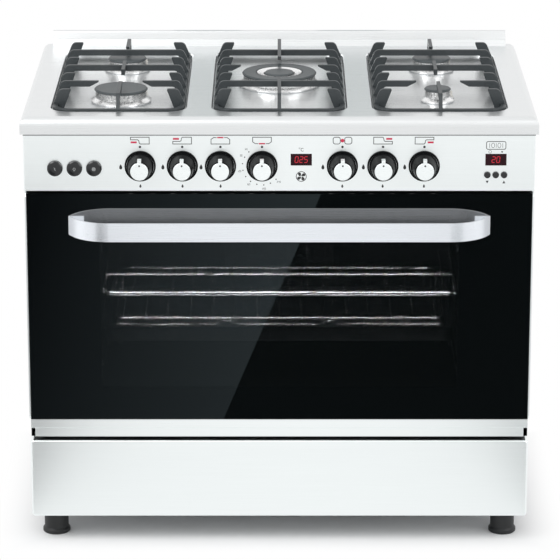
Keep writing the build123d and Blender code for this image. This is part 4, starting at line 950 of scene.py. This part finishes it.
# The level flag whose slanting edge is the line across the door glass
GLASS_FLAG = ((-5.0, -0.9, 0.02), (-0.116, -0.9, 0.02), (0.52, -6.0, 0.02), (-5.0, -6.0, 0.02))
GLASS_FLAG_TONES = (0.005, 0.064)

FLOOR_REACH = 30.0
FOOT = (0.43, 0.25)


def ray_mix(tree, rays, seen, other):
    """Mixes two shaders by kind of ray: the named kinds meet the first, all others the second."""
    kinds = node(tree, "LightPath").outputs
    factor = kinds[rays[0]]
    for ray in rays[1:]:
        factor = reckon(tree, "MAXIMUM", factor, kinds[ray])
    return node(tree, "MixShader", {0: factor, 1: other, 2: seen})


def stage_sheet(name, corners, material):
    """A flat stage object from its corners."""
    mesh = bpy.data.meshes.new(name)
    mesh.from_pydata(corners, [], [range(len(corners))])
    mesh.materials.append(material)
    sheet = bpy.data.objects.new(name, mesh)
    bpy.context.scene.collection.objects.link(sheet)


def bare_material(name):
    """A material with no nodes yet; gives it and its node tree."""
    material = bpy.data.materials.new(name)
    material.use_nodes = True
    material.node_tree.nodes.clear()
    return material, material.node_tree


def floor_material(tone):
    """Pale floor: it takes shadow under the cooker and turns to plain white a hand's breadth beyond its outline,
    by the larger of the distances in X and Y outside the foot rectangle."""
    material, tree = bare_material("pale floor")
    size = reckon(tree, "ABSOLUTE", object_place(tree), kind="VectorMath")
    outside = reckon(tree, "SUBTRACT", size, (*FOOT, 0.0), kind="VectorMath")
    axes = node(tree, "SeparateXYZ", {0: outside}).outputs
    larger = reckon(tree, "MAXIMUM", axes["X"], axes["Y"])
    fade = node(tree, "MapRange", {"Value": larger, "From Min": -0.02, "From Max": 0.10},
                interpolation_type="SMOOTHSTEP")
    matt = node(tree, "BsdfDiffuse", {"Color": (*tone, 1.0)})
    lit = node(tree, "MixShader", {0: fade, 1: matt, 2: node(tree, "Emission")})
    dark = node(tree, "Emission", {"Color": DARK_SURROUND})
    node(tree, "OutputMaterial", {"Surface": ray_mix(tree, ("Is Singular Ray",), dark, lit)})
    return material


def flag_material(name, tones, sharp):
    """A studio flag that only some rays meet, clear to all others: a sharp flag shows in mirror-sharp glass, the
    other kind in satin metal. Its tone runs from the first to the second across a span of X."""
    material, tree = bare_material(name)
    across = node(tree, "SeparateXYZ", {0: object_place(tree)})
    tone = node(tree, "MapRange", {"Value": across, "From Min": -0.6, "From Max": 0.1, "To Min": tones[0],
                                   "To Max": tones[1]})
    flag = node(tree, "Emission", {"Color": SHARP_TINT if sharp else SATIN_TINT, "Strength": tone})
    clear = node(tree, "BsdfTransparent")
    mirrored, glossy = (flag, clear) if sharp else (clear, ray_mix(tree, ("Is Glossy Ray",), flag, clear))
    node(tree, "OutputMaterial", {"Surface": ray_mix(tree, ("Is Singular Ray",), mirrored, glossy)})
    return material


def looking(place, way):
    """The place and turn of a lamp or camera that looks along a way."""
    return Matrix.Translation(place) @ Vector(way).to_track_quat("-Z", "Y").to_matrix().to_4x4()


def add_lamp(name, power, size, place, aim):
    """A soft lamp of a width and a height that looks from its place to a point."""
    light = bpy.data.lights.new(name, "AREA")
    light.energy = power
    light.shape = "RECTANGLE"
    light.size, light.size_y = size
    lamp = bpy.data.objects.new(name, light)
    lamp.matrix_world = looking(place, Vector(aim) - Vector(place))
    bpy.context.scene.collection.objects.link(lamp)


class COOKER_OT_stage(bpy.types.Operator):
    """Pale floor, white surroundings, soft lamps, flags for glass and steel, and the camera"""

    bl_idname = "cooker.stage"
    bl_label = "Set the stage"

    def execute(self, context):
        stage = settings(context)[2]
        scene = context.scene
        scene.view_settings.view_transform = "Standard"
        stage_sheet("floor", [(*corner, 0.0) for corner in bar(2.0 * FLOOR_REACH, 2.0 * FLOOR_REACH)],
                    floor_material(stage.floor))
        stage_sheet("flag_left", GLASS_FLAG, flag_material("grey flag", GLASS_FLAG_TONES, True))
        for index, (end, side) in enumerate((("left", -1.0), ("right", 1.0))):
            for name, (places, (low, high), tones) in FLAG_PAIRS.items():
                near, far = [(side * x, y) for x, y in places]
                corners = [(*near, low), (*far, low), (*far, high), (*near, high)]
                flag = flag_material(f"{name} {end}".replace("_", " "), (tones[index],) * 2, False)
                stage_sheet(f"{name}_{end}", corners, flag)
        world = bpy.data.worlds.new("studio")
        scene.world = world
        world.use_nodes = True
        tree = world.node_tree
        tree.nodes.clear()
        soft = node(tree, "Background", {"Color": SKY_TINT, "Strength": stage.sky})
        white = node(tree, "Background", {"Color": WHITE})
        dark = node(tree, "Background", {"Color": DARK_SURROUND})
        lit = ray_mix(tree, ("Is Camera Ray", "Is Glossy Ray", "Is Transmission Ray"), white, soft)
        node(tree, "OutputWorld", {"Surface": ray_mix(tree, ("Is Singular Ray",), dark, lit)})
        add_lamp("key lamp", stage.key, (2.4, 2.4), (-2.2, -2.6, 3.2), (0.0, 0.0, 0.5))
        add_lamp("fill lamp", stage.fill, (2.4, 2.4), (2.6, -2.4, 2.4), (0.0, 0.0, 0.5))
        strip = 0.65, 0.04
        add_lamp("upper oven light", stage.oven_light, strip, (0.0, -0.236, 0.604), (0.0, -0.14, 0.44))
        add_lamp("lower oven light", stage.oven_light / 2.0, strip, (0.0, -0.236, 0.277), (0.0, -0.16, 0.41))
        low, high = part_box("door_handle")
        level = (low.z + high.z) / 2.0
        add_lamp("handle light", stage.handle_light, (0.64, 0.030), (0.0, high.y - 0.002, level), (0.0, -1.0, level))
        lens = bpy.data.cameras.new("camera")
        lens.lens = stage.lens
        lens.sensor_width = 36.0
        lens.sensor_fit = "HORIZONTAL"
        camera = bpy.data.objects.new("camera", lens)
        forward = Vector((0.0, cos(stage.elevation), -sin(stage.elevation)))
        camera.matrix_world = looking(Vector(stage.target) - stage.distance * forward, forward)
        scene.collection.objects.link(camera)
        scene.camera = camera
        return {"FINISHED"}


class COOKER_PT_panel(bpy.types.Panel):
    """Values and steps of the cooker's dressing"""

    bl_idname = "COOKER_PT_panel"
    bl_label = "Gas cooker"
    bl_space_type = "VIEW_3D"
    bl_region_type = "UI"
    bl_category = "Cooker"

    def draw(self, context):
        for group in settings(context):
            box = self.layout.box()
            for title in group.bl_rna.properties.keys():
                if title not in ("rna_type", "name"):
                    box.prop(group, title)
        for step in STEPS:
            self.layout.operator(step.bl_idname)


GROUPS = {"cooker_finishes": CookerFinishes, "cooker_fittings": CookerFittings, "cooker_stage": CookerStage}
STEPS = (COOKER_OT_metalwork, COOKER_OT_iron_and_enamel, COOKER_OT_plastic_and_rubber, COOKER_OT_glass,
         COOKER_OT_knob_plates, COOKER_OT_panel_signs, COOKER_OT_oven_dial, COOKER_OT_displays,
         COOKER_OT_button_signs, COOKER_OT_edge_trims, COOKER_OT_oven_wires, COOKER_OT_screws, COOKER_OT_stage)


def register():
    """Makes the values, steps and panel known to Blender."""
    for title, group in GROUPS.items():
        bpy.utils.register_class(group)
        setattr(bpy.types.Scene, title, PointerProperty(type=group))
    for step in STEPS + (COOKER_PT_panel,):
        bpy.utils.register_class(step)


def unregister():
    """Takes them away again."""
    for step in reversed(STEPS + (COOKER_PT_panel,)):
        bpy.utils.unregister_class(step)
    for title, group in GROUPS.items():
        delattr(bpy.types.Scene, title)
        bpy.utils.unregister_class(group)


def main():
    """Dresses the cooker step by step."""
    register()
    for step in STEPS:
        family, call = step.bl_idname.split(".")
        getattr(getattr(bpy.ops, family), call)()
    bpy.context.view_layer.update()


if __name__ == "__main__":
    main()
